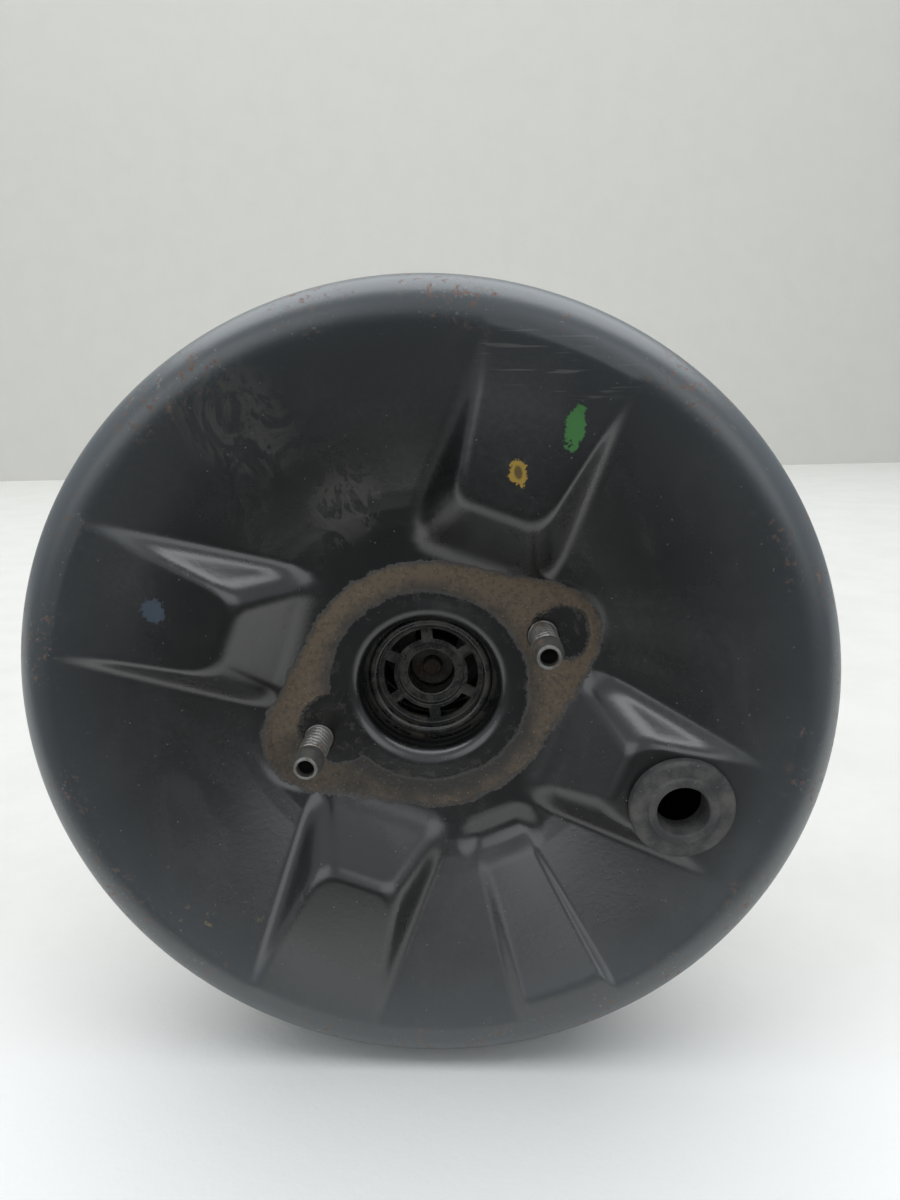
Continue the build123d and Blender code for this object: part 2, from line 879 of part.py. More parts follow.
def input_return_spring():
    mean = retainer_socket - input_wire / 2 - 0.4
    back = collar_front + soft_gap
    return coil(mean, input_wire, back, retainer_front - retainer_sheet - 0.1, input_turns)


def spring_collar():
    """Pressed collar on the input rod that the return spring pushes against."""
    return tube(input_radius, collar_radius, collar_front - collar_thickness, collar_front)


def input_rod():
    """Ball-ended rod with a shoulder behind the spring collar."""
    shoulder = collar_front - collar_thickness
    shank = turned(
        (0, input_end),
        (input_radius - 0.8, input_end),
        (input_radius, input_end + 1),
        (input_radius, shoulder - shoulder_thickness),
        (input_radius + shoulder_rise, shoulder - shoulder_thickness, 0.4),
        (input_radius + shoulder_rise, shoulder),
        (input_radius, shoulder),
        (input_radius, taper_back, 3),
        (rod_neck, taper_front, 3),
        (rod_neck, ball_station),
        (0, ball_station),
    )
    return shank + Pos(0, 0, ball_station) * Sphere(ball_radius)


def air_silencer():
    return tube(filter_bore, rear_bore - 0.05, filter_front, silencer_front)


def air_filter():
    return tube(filter_bore, rear_bore - 0.05, filter_back, filter_front)


# ---------------------------------------------------------------- clevis
def clevis_lock_nut():
    blank = extrude(RegularPolygon(nut_flats / 2, 6, major_radius=False), nut_thickness)
    nut = Pos(0, 0, nut_front - nut_thickness) * blank
    crown = turned(
        (0, nut_front - nut_thickness),
        (nut_flats / 2 + 1.6, nut_front - nut_thickness),
        (nut_flats / 2 + 1.6, nut_front - 1),
        (nut_flats / 2 - 0.2, nut_front),
        (0, nut_front),
    )
    return (nut & crown) - rod(input_radius, nut_front - 2 * nut_thickness, nut_front + 1)


def clevis():
    """Fork with two ears, drilled across for the pedal pin."""
    front = nut_front - nut_thickness
    hub_end = front - clevis_hub
    ears_end = hub_end - clevis_length
    width = clevis_gap + 2 * clevis_ear
    fork = Pos(0, 0, (ears_end + hub_end + 5) / 2) * Box(width, clevis_width, clevis_length + 5)
    fork = fillet(fork.edges().filter_by(Axis.X).sort_by(Axis.Z)[:2], clevis_width / 2 - 0.5)
    slot_height = clevis_length + 2
    fork -= Pos(0, 0, hub_end - slot_height / 2) * Box(clevis_gap, 2 * clevis_width, slot_height)
    body = fork + rod(clevis_hub_radius, hub_end, front)
    body -= rod(input_radius, hub_end - 1, front + 1)
    pin = Rot(0, 90, 0) * extrude(Circle(pin_radius), width, both=True)
    return body - Pos(0, 0, hub_end - pin_setback) * pin


# ---------------------------------------------------------------- write every piece
PIECES = [
    front_shell, front_plate, mc_studs, check_valve_grommet, guide_ring, return_spring,
    rear_shell, rear_stud_plate, bulkhead_studs, bulkhead_gasket,
    rear_bearing, rear_seal, bearing_retainer, dust_boot,
    diaphragm, diaphragm_plate, spring_seat_cup, valve_body, reaction_disc,
    output_rod, output_rod_screw, plunger, stop_key, control_poppet, poppet_ring,
    poppet_retainer, poppet_spring, input_return_spring, spring_collar, input_rod,
    air_silencer, air_filter, clevis_lock_nut, clevis,
]


def main():
    os.makedirs("parts", exist_ok=True)
    for make in PIECES:
        made = make()
        solids = made if isinstance(made, list) else [made]
        laid = [Rot(90, 0, 0) * solid for solid in solids]
        export_step(Compound(children=laid) if len(laid) > 1 else laid[0], f"parts/{make.__name__}.step")


main()
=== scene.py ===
import itertools
import math

import bmesh
import bpy
import numpy as np
from mathutils import Matrix, Vector


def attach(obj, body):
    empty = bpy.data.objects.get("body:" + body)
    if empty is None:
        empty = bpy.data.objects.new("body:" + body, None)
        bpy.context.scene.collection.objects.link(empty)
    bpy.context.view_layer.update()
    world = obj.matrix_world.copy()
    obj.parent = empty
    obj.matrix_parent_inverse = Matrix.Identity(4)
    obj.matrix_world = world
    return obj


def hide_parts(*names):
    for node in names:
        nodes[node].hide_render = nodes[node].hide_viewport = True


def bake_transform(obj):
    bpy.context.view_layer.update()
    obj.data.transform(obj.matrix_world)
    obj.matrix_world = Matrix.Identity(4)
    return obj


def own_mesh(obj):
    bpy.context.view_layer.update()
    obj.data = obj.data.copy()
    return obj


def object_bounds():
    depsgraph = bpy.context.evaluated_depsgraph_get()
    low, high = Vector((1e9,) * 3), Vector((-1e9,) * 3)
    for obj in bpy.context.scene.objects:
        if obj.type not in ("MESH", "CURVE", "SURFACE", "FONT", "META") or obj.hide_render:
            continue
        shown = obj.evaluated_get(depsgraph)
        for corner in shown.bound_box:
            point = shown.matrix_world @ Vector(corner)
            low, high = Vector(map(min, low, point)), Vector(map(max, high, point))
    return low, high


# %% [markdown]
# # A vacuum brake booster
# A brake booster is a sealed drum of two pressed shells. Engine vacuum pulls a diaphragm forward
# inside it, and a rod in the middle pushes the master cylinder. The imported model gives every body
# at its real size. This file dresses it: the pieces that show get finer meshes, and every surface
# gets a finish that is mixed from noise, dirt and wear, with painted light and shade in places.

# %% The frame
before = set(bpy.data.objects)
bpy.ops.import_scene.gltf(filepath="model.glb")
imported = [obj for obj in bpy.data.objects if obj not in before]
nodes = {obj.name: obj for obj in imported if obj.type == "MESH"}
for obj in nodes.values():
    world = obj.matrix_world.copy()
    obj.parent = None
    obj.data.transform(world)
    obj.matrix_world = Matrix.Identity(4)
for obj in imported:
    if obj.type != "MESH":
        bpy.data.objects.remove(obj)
cad_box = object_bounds()
print("nodes", len(nodes), "box in mm", [round(1000 * (b - a), 1) for a, b in zip(*cad_box)])

# %% [markdown]
# ## Driving dimensions
# The booster is round, so a point on it is a radius and a station, in millimetres. Stations grow
# from the steel face at the bulkhead towards the master cylinder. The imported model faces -Y, so a
# station a lies at y = -a. Only the sizes that the new meshes share with the bodies are here.

# %% Sizes in millimetres
MM = 0.001
SHEET = 2.0
SHELL_RADIUS = 130.0
SEAT = 82.0  # station of the master cylinder's seat
RIM_PLANE = 97.5
CROWN = RIM_PLANE + 10.0
DISH_EDGE = SHELL_RADIUS - 12.5
CROWN_START = 120.0  # radius where the rim starts to turn back
CRIMP_RADIUS = 134.0
CRIMP_FOOT = 58.0
CRIMP_LIP = 5.4  # how far the crimp's tabs are folded in
FLARE_TOP = 70.0  # the skirt flares out to the crimp between these stations
FLARE_FOOT = 66.5
DISH_FOOT = 54.0  # radius where the dish would leave the seat's level if the corner were sharp
BORE = 23.3
COLLAR_END = SEAT - 10.0
LIP_ROUND = 5.5
STUD_LINE = math.radians(26.06)
STUD_PLACE = 42.85
STUD_HOLE = 5.5
STUD_TIP = SEAT + 23.8
SEAT_ROUND = 41.5
SEAT_LOBE = 16.5
GROMMET_TURN = math.radians(-21.7)
GROMMET_PLACE = 88.7
GROMMET_NECK = 12.2
GROMMET_BORE = 8.5
PAD_TOP = RIM_PLANE + 4.0
NECK_END = -26.0
SLEEVE_END = -62.0
print("shell radius", SHELL_RADIUS, "seat at", SEAT, "crown at", CROWN)

# %% [markdown]
# ## Outlines
# A turned or pressed piece starts as an outline: a few corners, some of them rounded. Blender's
# bevel could round them after the spin, but an arc worked out here gives every corner the radius
# that the press tool had, and keeps the number of faces in hand.


# %% Rounded outlines
def rounded(*corners, closed=True, arc_step=math.radians(10)):
    """Points along (radius, station, rounding) corners, with an arc at each rounded corner."""
    points = []
    for index, (radius, station, *rounding) in enumerate(corners):
        here = np.array((radius, station), float)
        at_end = not closed and index in (0, len(corners) - 1)
        if at_end or not rounding or not rounding[0]:
            points.append(here)
            continue
        back = np.array(corners[index - 1][:2], float) - here
        ahead = np.array(corners[(index + 1) % len(corners)][:2], float) - here
        back /= np.linalg.norm(back)
        ahead /= np.linalg.norm(ahead)
        half = math.acos(float(np.clip(back @ ahead, -1, 1))) / 2
        middle = (back + ahead) / np.linalg.norm(back + ahead)
        centre = here + middle * rounding[0] / math.sin(half)
        start = here + back * rounding[0] / math.tan(half) - centre
        end = here + ahead * rounding[0] / math.tan(half) - centre
        first = math.atan2(start[1], start[0])
        sweep = math.remainder(math.atan2(end[1], end[0]) - first, math.tau)
        for step in np.linspace(0, 1, max(3, math.ceil(abs(sweep) / arc_step) + 1)):
            turn = first + sweep * step
            points.append(centre + rounding[0] * np.array((math.cos(turn), math.sin(turn))))
    return np.array(points)


print("a rounded square has", len(rounded((0, 0, 1), (9, 0, 1), (9, 9, 1), (0, 9, 1))), "points")


# %% Sheets and long runs
def thickened(line, thickness):
    """A closed outline round an open line, half the thickness to each side of it."""
    along = np.gradient(line, axis=0)
    along /= np.linalg.norm(along, axis=1)[:, None]
    side = np.stack([-along[:, 1], along[:, 0]], 1) * thickness / 2
    return np.concatenate([line + side, (line - side)[::-1]])


def divided(outline, step):
    """The same outline with its long runs cut into lengths of about one step."""
    points = []
    for start, end in zip(outline[:-1], outline[1:]):
        count = max(1, math.ceil(np.linalg.norm(end - start) / step))
        points += [start + (end - start) * part / count for part in range(count)]
    return np.array(points + [outline[-1]])


print("a run of 10 in steps of 2 has", len(divided(np.array([(0, 0), (0, 10)], float), 2)), "points")


# %% [markdown]
# ## From outlines to meshes
# Spinning an outline gives a grid of points, ring by ring, and the faces follow from counting.
# Building the grid in code, and not with the Screw modifier, lets a thread or a pressed relief
# move single points before the mesh exists. Doubled points at the axis are merged, and edges
# sharper than a set angle stay crisp while everything else is smooth.


# %% Faces and pieces
MERGE_REACH = 1e-6  # metres


def ring_faces(rings, around, closed):
    """Four-sided faces between neighbouring rings of points."""
    rows = np.arange(rings if closed else rings - 1)[:, None]
    after = (rows + 1) % rings
    turn = np.arange(around)[None, :]
    beside = (turn + 1) % around
    corners = (rows * around + turn, rows * around + beside, after * around + beside, after * around + turn)
    return np.stack(corners, -1).reshape(-1, 4)


def smooth_edges(mesh, sharp):
    """Shades a mesh smooth, but for edges that turn by more than sharp degrees."""
    mesh.shade_smooth()
    mesh.set_sharp_from_angle(angle=math.radians(sharp))


def listed(faces):
    """Faces as plain lists, from an array or from a list."""
    return faces.tolist() if isinstance(faces, np.ndarray) else faces


def placed(name, content):
    """An object that holds a mesh, a lamp or a camera, put into the scene."""
    piece = bpy.data.objects.new(name, content)
    bpy.context.scene.collection.objects.link(piece)
    return piece


def new_piece(name, points, faces, sharp=35):
    """An object from points in millimetres, merged at the axis, with its faces turned outwards."""
    mesh = bpy.data.meshes.new(name)
    mesh.from_pydata((np.asarray(points) * MM).tolist(), [], listed(faces))
    work = bmesh.new()
    work.from_mesh(mesh)
    bmesh.ops.remove_doubles(work, verts=work.verts, dist=MERGE_REACH)
    bmesh.ops.recalc_face_normals(work, faces=work.faces)
    work.to_mesh(mesh)
    work.free()
    smooth_edges(mesh, sharp)
    return placed(name, mesh)


print("three rings of eight points have", len(ring_faces(3, 8, False)), "faces")


# %% Spinning and joining
def on_line(place, turn):
    """Where a feature stands across the axis, from its distance and its angle from +X."""
    return np.array((place * math.cos(turn), place * math.sin(turn)))


def spun_points(outline, around, centre=(0, 0), thread=None):
    """Ring points of a spun outline; thread(station, turn) takes that much off the radius."""
    turn = np.linspace(0, math.tau, around, endpoint=False)[None, :]
    radius = outline[:, :1] + 0 * turn
    station = outline[:, 1:] + 0 * turn
    if thread:
        radius = np.where(radius > 0, radius - thread(station, turn), 0)
    x = centre[0] + radius * np.cos(turn)
    z = centre[1] + radius * np.sin(turn)
    return np.stack([x, -station, z], -1).reshape(-1, 3)


def spun(name, outline, around=144, closed=True, centre=(0, 0), thread=None, sharp=35):
    """A piece turned about the booster's axis, or about a line beside it."""
    points = spun_points(outline, around, centre, thread)
    return new_piece(name, points, ring_faces(len(outline), around, closed), sharp)


def joined(name, pieces, sharp=35):
    """One object out of several that were made alike."""
    work = bmesh.new()
    for piece in pieces:
        work.from_mesh(piece.data)
        bpy.data.objects.remove(piece)
    mesh = bpy.data.meshes.new(name)
    work.to_mesh(mesh)
    work.free()
    smooth_edges(mesh, sharp)
    return placed(name, mesh)


# %% [markdown]
# ## Punching and dressing
# Holes are punched with a Boolean modifier, as a press or a drill makes them after the sheet is
# formed. The manifold solver is quick on these closed meshes. Dressing is the last step for each
# piece: its finish, the body that carries it, and the part of the model that it stands for.


# %% Punches
def cut(piece, cutter, sharp=35):
    """Takes the cutter's volume out of the piece, as a punch or a drill would."""
    punch = piece.modifiers.new("punch", "BOOLEAN")
    punch.object = cutter
    punch.operation = "DIFFERENCE"
    punch.solver = "MANIFOLD"
    bpy.context.view_layer.update()
    evaluated = piece.evaluated_get(bpy.context.evaluated_depsgraph_get())
    mesh = bpy.data.meshes.new_from_object(evaluated)
    piece.modifiers.clear()
    piece.data = mesh
    bpy.data.objects.remove(cutter)
    smooth_edges(mesh, sharp)
    print("cut", piece.name, "leaves", len(mesh.polygons), "faces")


def pin_cutter(radius, back, front, centre, around=64):
    """A plain round punch."""
    outline = np.array([(0, back), (radius, back), (radius, front), (0, front)], float)
    return spun("punch", outline, around, closed=False, centre=centre)


def prism(name, rim, back, front):
    """A closed block with the same rim at two stations."""
    count = len(rim)
    points = [(px, -station, pz) for station in (back, front) for px, pz in rim]
    sides = [(i, (i + 1) % count, count + (i + 1) % count, count + i) for i in range(count)]
    return new_piece(name, points, sides + [tuple(range(count)), tuple(range(count, 2 * count))])


# %% Dressing a piece
def dress(piece, finish, body, slot, *stands_for):
    """Gives a piece its finish and its body, and lets it stand for CAD nodes; the slot is not used.

    A piece that bends between two bodies has none of its own: its body is None.
    """
    piece.data.materials.clear()
    piece.data.materials.append(finish)
    if body:
        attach(piece, body)
    if stands_for:
        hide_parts(*stands_for)
    return piece


# %% [markdown]
# ## Mixing a finish
# A finish here is a stack of layers over one shader: a base colour, then dust, dirt and rust, and
# in places painted light and shade, where a mask says so. Each mask is noise, or a value stored
# on the mesh, or both multiplied. A small class keeps the current colour and roughness, so a finish
# reads from the metal outwards. Colours are given as they would look on a screen and turned into
# linear light once.


# %% The finish mixer
def tint(red, green, blue):
    """A colour from screen values of 0 to 255."""
    linear = [(c / 255 / 12.92) if c <= 10 else ((c / 255 + 0.055) / 1.055) ** 2.4
              for c in (red, green, blue)]
    return (*linear, 1.0)


class Finish:
    """One material, mixed layer by layer over a Principled shader."""

    def __init__(self, name, colour, roughness, **sockets):
        self.material = bpy.data.materials.new(name)
        self.material.use_nodes = True
        self.tree = self.material.node_tree
        self.shader = self.tree.nodes["Principled BSDF"]
        self.colour = colour
        self.roughness = roughness
        self.bump = None
        for label, value in sockets.items():
            self.shader.inputs[label.replace("_", " ")].default_value = value
        self.where = self.add("ShaderNodeTexCoord").outputs["Object"]

    def add(self, kind, **settings):
        """A new shader node with the given settings."""
        node = self.tree.nodes.new(kind)
        for key, value in settings.items():
            setattr(node, key, value)
        return node

    def feed(self, socket, value):
        """Links a node's output to the socket, or writes a plain value into it."""
        if isinstance(value, bpy.types.NodeSocket):
            self.tree.links.new(value, socket)
        else:
            socket.default_value = value

    def stored(self, name):
        """A value that was stored on the mesh's points."""
        return self.add("ShaderNodeAttribute", attribute_name=name).outputs["Fac"]

    def stretched(self, scale, stretch, shift):
        """The place on the piece, pulled and moved before a texture reads it."""
        mapping = self.add("ShaderNodeMapping")
        self.feed(mapping.inputs["Vector"], self.where)
        mapping.inputs["Scale"].default_value = [scale * s for s in stretch]
        mapping.inputs["Location"].default_value = (shift, 2.7 * shift, -1.9 * shift)
        return mapping.outputs["Vector"]

    def noise(self, size, detail=4.0, rough=0.55, stretch=(1, 1, 1), shift=0.0, warp=0.0):
        """Cloudy noise whose blotches are about size millimetres across."""
        texture = self.add("ShaderNodeTexNoise")
        self.feed(texture.inputs["Vector"], self.stretched(1 / (size * MM), stretch, shift))
        texture.inputs["Scale"].default_value = 1.0
        texture.inputs["Detail"].default_value = detail
        texture.inputs["Roughness"].default_value = rough
        texture.inputs["Distortion"].default_value = warp
        return texture.outputs["Fac"]

    def cells(self, size, shift=0.0, stretch=(1, 1, 1)):
        """Distance from scattered points about size millimetres apart."""
        texture = self.add("ShaderNodeTexVoronoi")
        self.feed(texture.inputs["Vector"], self.stretched(1 / (size * MM), stretch, shift))
        texture.inputs["Scale"].default_value = 1.0
        return texture.outputs["Distance"]

    def band(self, value, low, high):
        """0 below low, 1 above high, and smooth between them; low may be the larger."""
        node = self.add("ShaderNodeMapRange", interpolation_type="SMOOTHSTEP")
        self.feed(node.inputs["Value"], value)
        flipped = low > high
        node.inputs["From Min"].default_value = min(low, high)
        node.inputs["From Max"].default_value = max(low, high)
        node.inputs["To Min"].default_value = 1.0 if flipped else 0.0
        node.inputs["To Max"].default_value = 0.0 if flipped else 1.0
        return node.outputs["Result"]

    def sum(self, operation, first, *others):
        """A chain of MULTIPLY, ADD, MAXIMUM and the like."""
        total = first
        for other in others:
            node = self.add("ShaderNodeMath", operation=operation)
            self.feed(node.inputs[0], total)
            self.feed(node.inputs[1], other)
            total = node.outputs[0]
        return total

    def times(self, first, *others):
        """The product of masks, so that a layer lies only where all of them are."""
        return self.sum("MULTIPLY", first, *others)

    def layer(self, mask, colour=None, roughness=None):
        """Lays a colour and a roughness over what is there, where the mask is 1."""
        if colour is not None:
            mix = self.add("ShaderNodeMix", data_type="RGBA")
            self.feed(mix.inputs[0], mask)
            self.feed(mix.inputs[6], self.colour)
            self.feed(mix.inputs[7], colour)
            self.colour = mix.outputs[2]
        if roughness is not None:
            mix = self.add("ShaderNodeMix", data_type="FLOAT")
            self.feed(mix.inputs[0], mask)
            self.feed(mix.inputs[2], self.roughness)
            self.feed(mix.inputs[3], roughness)
            self.roughness = mix.outputs[0]

    def relief(self, height, depth):
        """Raises the surface by depth millimetres where height is 1."""
        node = self.add("ShaderNodeBump")
        node.inputs["Distance"].default_value = depth * MM
        self.feed(node.inputs["Height"], height)
        if self.bump:
            self.feed(node.inputs["Normal"], self.bump)
        self.bump = node.outputs["Normal"]

    def done(self):
        """Joins the last layer to the shader and gives the material."""
        self.feed(self.shader.inputs["Base Color"], self.colour)
        self.feed(self.shader.inputs["Roughness"], self.roughness)
        if self.bump:
            self.feed(self.shader.inputs["Normal"], self.bump)
        print("finish", self.material.name, "has", len(self.tree.nodes), "nodes")
        return self.material


print("mid grey in linear light", round(tint(128, 128, 128)[0], 3))


# %% [markdown]
# ## The pressed relief of the front shell
# The front of the drum is one drawing of sheet steel: a concave dish inside a rolled rim, with a
# sunk seat for the master cylinder, four raised pads and a shallow raised sector. Its height over
# the plane is a formula of place: a turned base, and soft maxima and minima for what the press
# adds or sinks. A sculpt or a subdivision cage would need hundreds of hand-placed points for the
# same soft shoulders, and the formula also tells the dirt where the corners are.

# %% The turned base of the dish
skirt_skin = rounded(
    (0, SEAT),
    (DISH_FOOT, SEAT, 80),
    (DISH_EDGE, CROWN, 12),
    (SHELL_RADIUS, CROWN, 10),
    (SHELL_RADIUS, FLARE_TOP, 4),
    (CRIMP_RADIUS, FLARE_FOOT, 3),
    (CRIMP_RADIUS, CRIMP_FOOT, 2.2),
    (CRIMP_RADIUS - CRIMP_LIP, CRIMP_FOOT),
    closed=False, arc_step=math.radians(5),
)
turned_back = int(np.argmax(skirt_skin[:, 0] > CROWN_START + 0.1))
dish_line = skirt_skin[:turned_back]
rim_line = skirt_skin[turned_back:]


def dish_base(radius):
    """Station of the plain dish at a radius."""
    return np.interp(radius, dish_line[:, 0], dish_line[:, 1])


print("dish rises from", SEAT, "to", round(float(dish_line[-1, 1]), 1))


# %% [markdown]
# ### Soft joins
# A press can't fold sheet steel to a sharp line, so wherever two surfaces meet, the one that wins
# takes over softly. A soft maximum adds a rounded fillet where a pad rises from the dish, and a
# soft minimum does the same where the seat is sunk. Bevelling the finished mesh would have to
# find these lines first.


# %% Soft joins and distances
def soft_max(first, second, blend):
    """The larger of two heights, rounded over where they are within blend of each other."""
    share = np.clip(0.5 + 0.5 * (first - second) / blend, 0, 1)
    return second + (first - second) * share + blend * share * (1 - share)


def soft_min(first, second, blend):
    """The smaller of two heights, rounded over in the same way."""
    return -soft_max(-first, -second, blend)


def smooth(value):
    """A soft step from 0 to 1."""
    value = np.clip(value, 0, 1)
    return value * value * (3 - 2 * value)


def along_across(x, z, turn):
    """A place seen from a line through the axis: how far along it and how far to its left."""
    return x * math.cos(turn) + z * math.sin(turn), -x * math.sin(turn) + z * math.cos(turn)


def seat_distance(x, z):
    """Distance outside the seat's outline: a circle drawn out to a lobe at each stud."""
    along, across = along_across(x, z, STUD_LINE)
    along, across = np.abs(along), np.abs(across)
    lean = (SEAT_ROUND - SEAT_LOBE) / STUD_PLACE
    level = math.sqrt(1 - lean**2)
    reach = level * along - lean * across
    side = level * across + lean * along - SEAT_ROUND
    near_lobe = np.hypot(along - STUD_PLACE, across) - SEAT_LOBE
    return np.where(reach < 0, np.hypot(along, across) - SEAT_ROUND,
                    np.where(reach > level * STUD_PLACE, near_lobe, side))


print("soft maximum of 1 and 1 over 4:", soft_max(1.0, 1.0, 4.0))

# %% [markdown]
# ### Pads
# The four pads stiffen the dish. Each is a wedge with a level or slightly climbing top, flared
# sides and a slanting nose. The wedge is the lowest of three planes, so its corners come out by
# themselves, and a few angles shape all four.

# %% Pads
PADS = 4
PAD_TURN = math.radians(69.5)
PAD_NOSE_PLACE = 66.4
PAD_NOSE_HALF = 13.9
PAD_FLARE = math.tan(math.radians(9.8))
PAD_CLIMB = math.tan(math.radians(4.8))
PAD_SIDE = math.tan(math.radians(38))
PAD_NOSE = math.tan(math.radians(47))
PAD_SHOULDER = 9.0  # soft join of the nose with the sides
PAD_EDGE = 2.5  # soft join of both with the top
PAD_FOOT = 4.0  # soft join of the pad with the dish
GROMMET_PAD = 3  # this pad's top is flat, for the grommet's flange


def pad_height(x, z, index):
    """The wedge of one pad: its nose, its two sides and its climbing top, whichever is lowest."""
    along, across = along_across(x, z, PAD_TURN + index * math.tau / PADS)
    top = PAD_TOP + (along - PAD_NOSE_PLACE) * (0 if index == GROMMET_PAD else PAD_CLIMB)
    half_width = PAD_NOSE_HALF + (along - PAD_NOSE_PLACE) * PAD_FLARE
    side = top + (half_width - np.abs(across)) / PAD_SIDE
    nose = PAD_TOP + (along - PAD_NOSE_PLACE) / PAD_NOSE
    return np.where(along > 0, soft_min(soft_min(side, nose, PAD_SHOULDER), top, PAD_EDGE), 0)


print("pad top over the seat", PAD_TOP - SEAT)

# %% [markdown]
# ### Raised sector
# A shallow sector climbs from the foot of the dish to the rim. Its left edge is soft and its right
# edge crisp, so it can't be one mirrored stroke: each edge has its own width. Where it lies and how
# far it rises are worked out apart and multiplied, so either can change alone.

# %% Raised sector
SECTOR_TURN = math.radians(-65.5)
SECTOR_HALF = math.radians(8.2)
SECTOR_START = 62.0
SECTOR_END = 111.0
SECTOR_SOFT_EDGE = 5.0
SECTOR_CRISP_EDGE = 2.2
sector_line = rounded((SECTOR_START, dish_base(SECTOR_START) - 0.1), (SECTOR_END, CROWN, 12),
                      (SHELL_RADIUS, CROWN), closed=False)


def sector_share(x, z):
    """1 on the raised sector and 0 beside it."""
    along, across = along_across(x, z, SECTOR_TURN)
    radius = np.hypot(x, z)
    arc = np.arctan2(across, along) * radius
    half = SECTOR_HALF * radius
    soft_side = smooth((half + arc) / SECTOR_SOFT_EDGE + 0.5)
    crisp_side = smooth((half - arc) / SECTOR_CRISP_EDGE + 0.5)
    return soft_side * crisp_side * (along > 0)


def sector_rise(x, z):
    """How far the raised sector stands over the dish."""
    radius = np.hypot(x, z)
    rise = np.interp(radius, sector_line[:, 0], sector_line[:, 1]) - dish_base(radius)
    return np.where(radius > SECTOR_START, np.maximum(rise, 0), 0) * sector_share(x, z)


print("sector rises", round(float(sector_rise(*on_line(SECTOR_END, SECTOR_TURN))), 1), "mm")

# %% [markdown]
# ### The whole relief
# The seat is sunk after the pads are raised, so its walls cut off the noses of the pads beside it.
# Last comes one mark outside the seat: a soft oblong pit at the foot of the sector.

# %% The whole relief
SEAT_WALL = math.tan(math.radians(42))
SEAT_EDGE = 1.8
DIMPLE_PLACE = 59.0
DIMPLE_HALF = 7.0
DIMPLE_REACH = 10.0
DIMPLE_DEPTH = 2.4


def pressed_station(x, z):
    """Station of the front skin over a place on the dish."""
    base = dish_base(np.hypot(x, z)) + sector_rise(x, z)
    for index in range(PADS):
        base = soft_max(base, pad_height(x, z, index), PAD_FOOT)
    base = np.minimum(base, CROWN)
    pocket = SEAT + np.maximum(seat_distance(x, z), 0) / SEAT_WALL
    base = soft_min(base, pocket, SEAT_EDGE)
    base = np.maximum(base, SEAT)
    along, across = along_across(x, z, SECTOR_TURN)
    away = np.hypot(along - DIMPLE_PLACE, np.maximum(np.abs(across) - DIMPLE_HALF, 0))
    return base - DIMPLE_DEPTH * smooth(1 - away / DIMPLE_REACH)


print("foot of the dimple", round(float(pressed_station(*on_line(DIMPLE_PLACE, SECTOR_TURN))), 1))

# %% [markdown]
# ## The front shell's mesh
# Rings of points run up the collar of the bore, out over the dish, round the rim, down the skirt
# and under the crimp, then back along the inner skin, so the shell is one closed sheet. The stud
# holes, the grommet's hole and the gaps between the crimp's tabs are punched out afterwards.

# %% Front shell
AROUND = 576
DISH_STEP = 0.55
INNER_DROP = 0.6  # the inner skin turns a little lower at the flare
lip = rounded((BORE, COLLAR_END), (BORE, SEAT, LIP_ROUND), (BORE + LIP_ROUND + 0.4, SEAT),
              closed=False, arc_step=math.radians(9))
turns = np.linspace(0, math.tau, AROUND, endpoint=False)
grommet_centre = on_line(GROMMET_PLACE, GROMMET_TURN)
stud_centres = [on_line(STUD_PLACE, STUD_LINE), on_line(STUD_PLACE, STUD_LINE + math.pi)]


def dish_rings(radii, drop):
    """Rings that follow the pressed relief, drop millimetres behind the front skin."""
    x = radii[:, None] * np.cos(turns)
    z = radii[:, None] * np.sin(turns)
    return np.stack([x, drop - pressed_station(x, z), z], -1).reshape(-1, 3)


def shell_points():
    """Every ring of the shell, from the bore's collar round to the back of it."""
    outer_radii = np.arange(BORE + LIP_ROUND + 0.8, CROWN_START, DISH_STEP)
    inner_radii = np.arange(BORE + LIP_ROUND + 1.0, CROWN_START - 1, 3 * DISH_STEP)[::-1]
    inner_rim = rounded(
        (CRIMP_RADIUS - CRIMP_LIP, CRIMP_FOOT + SHEET),
        (CRIMP_RADIUS - SHEET, CRIMP_FOOT + SHEET),
        (CRIMP_RADIUS - SHEET, FLARE_FOOT - INNER_DROP, 1),
        (SHELL_RADIUS - SHEET, FLARE_TOP - INNER_DROP, 2),
        (SHELL_RADIUS - SHEET, CROWN - SHEET, 8),
        (CROWN_START - 0.5, CROWN - SHEET),
        closed=False,
    )
    inner_lip = rounded((BORE + LIP_ROUND + 0.5, SEAT - SHEET),
                        (BORE + SHEET, SEAT - SHEET, LIP_ROUND - SHEET),
                        (BORE + SHEET, COLLAR_END), closed=False)
    return np.concatenate([
        spun_points(lip, AROUND), dish_rings(outer_radii, 0), spun_points(rim_line, AROUND),
        spun_points(inner_rim, AROUND), dish_rings(inner_radii, SHEET), spun_points(inner_lip, AROUND)])


points = shell_points()
shell = new_piece("front_shell_skin", points, ring_faces(len(points) // AROUND, AROUND, True), 50)
for centre in stud_centres:
    cut(shell, pin_cutter(STUD_HOLE, SEAT - 4, SEAT + 3, centre), 50)
cut(shell, pin_cutter(GROMMET_NECK, SEAT + 3, CROWN, grommet_centre, 96), 50)
print("shell points", len(shell.data.vertices))


# %% [markdown]
# ### Gaps in the crimp
# The front shell is closed over the rear one by folding tabs in, and each pair of tabs leaves a
# gap. The gaps are punched through the fold in one go: twelve blocks joined into one cutter are
# quicker than twelve cuts.


# %% Gaps between the crimp's tabs
CRIMP_GAPS = 12
CRIMP_GAP_HALF = 4.5


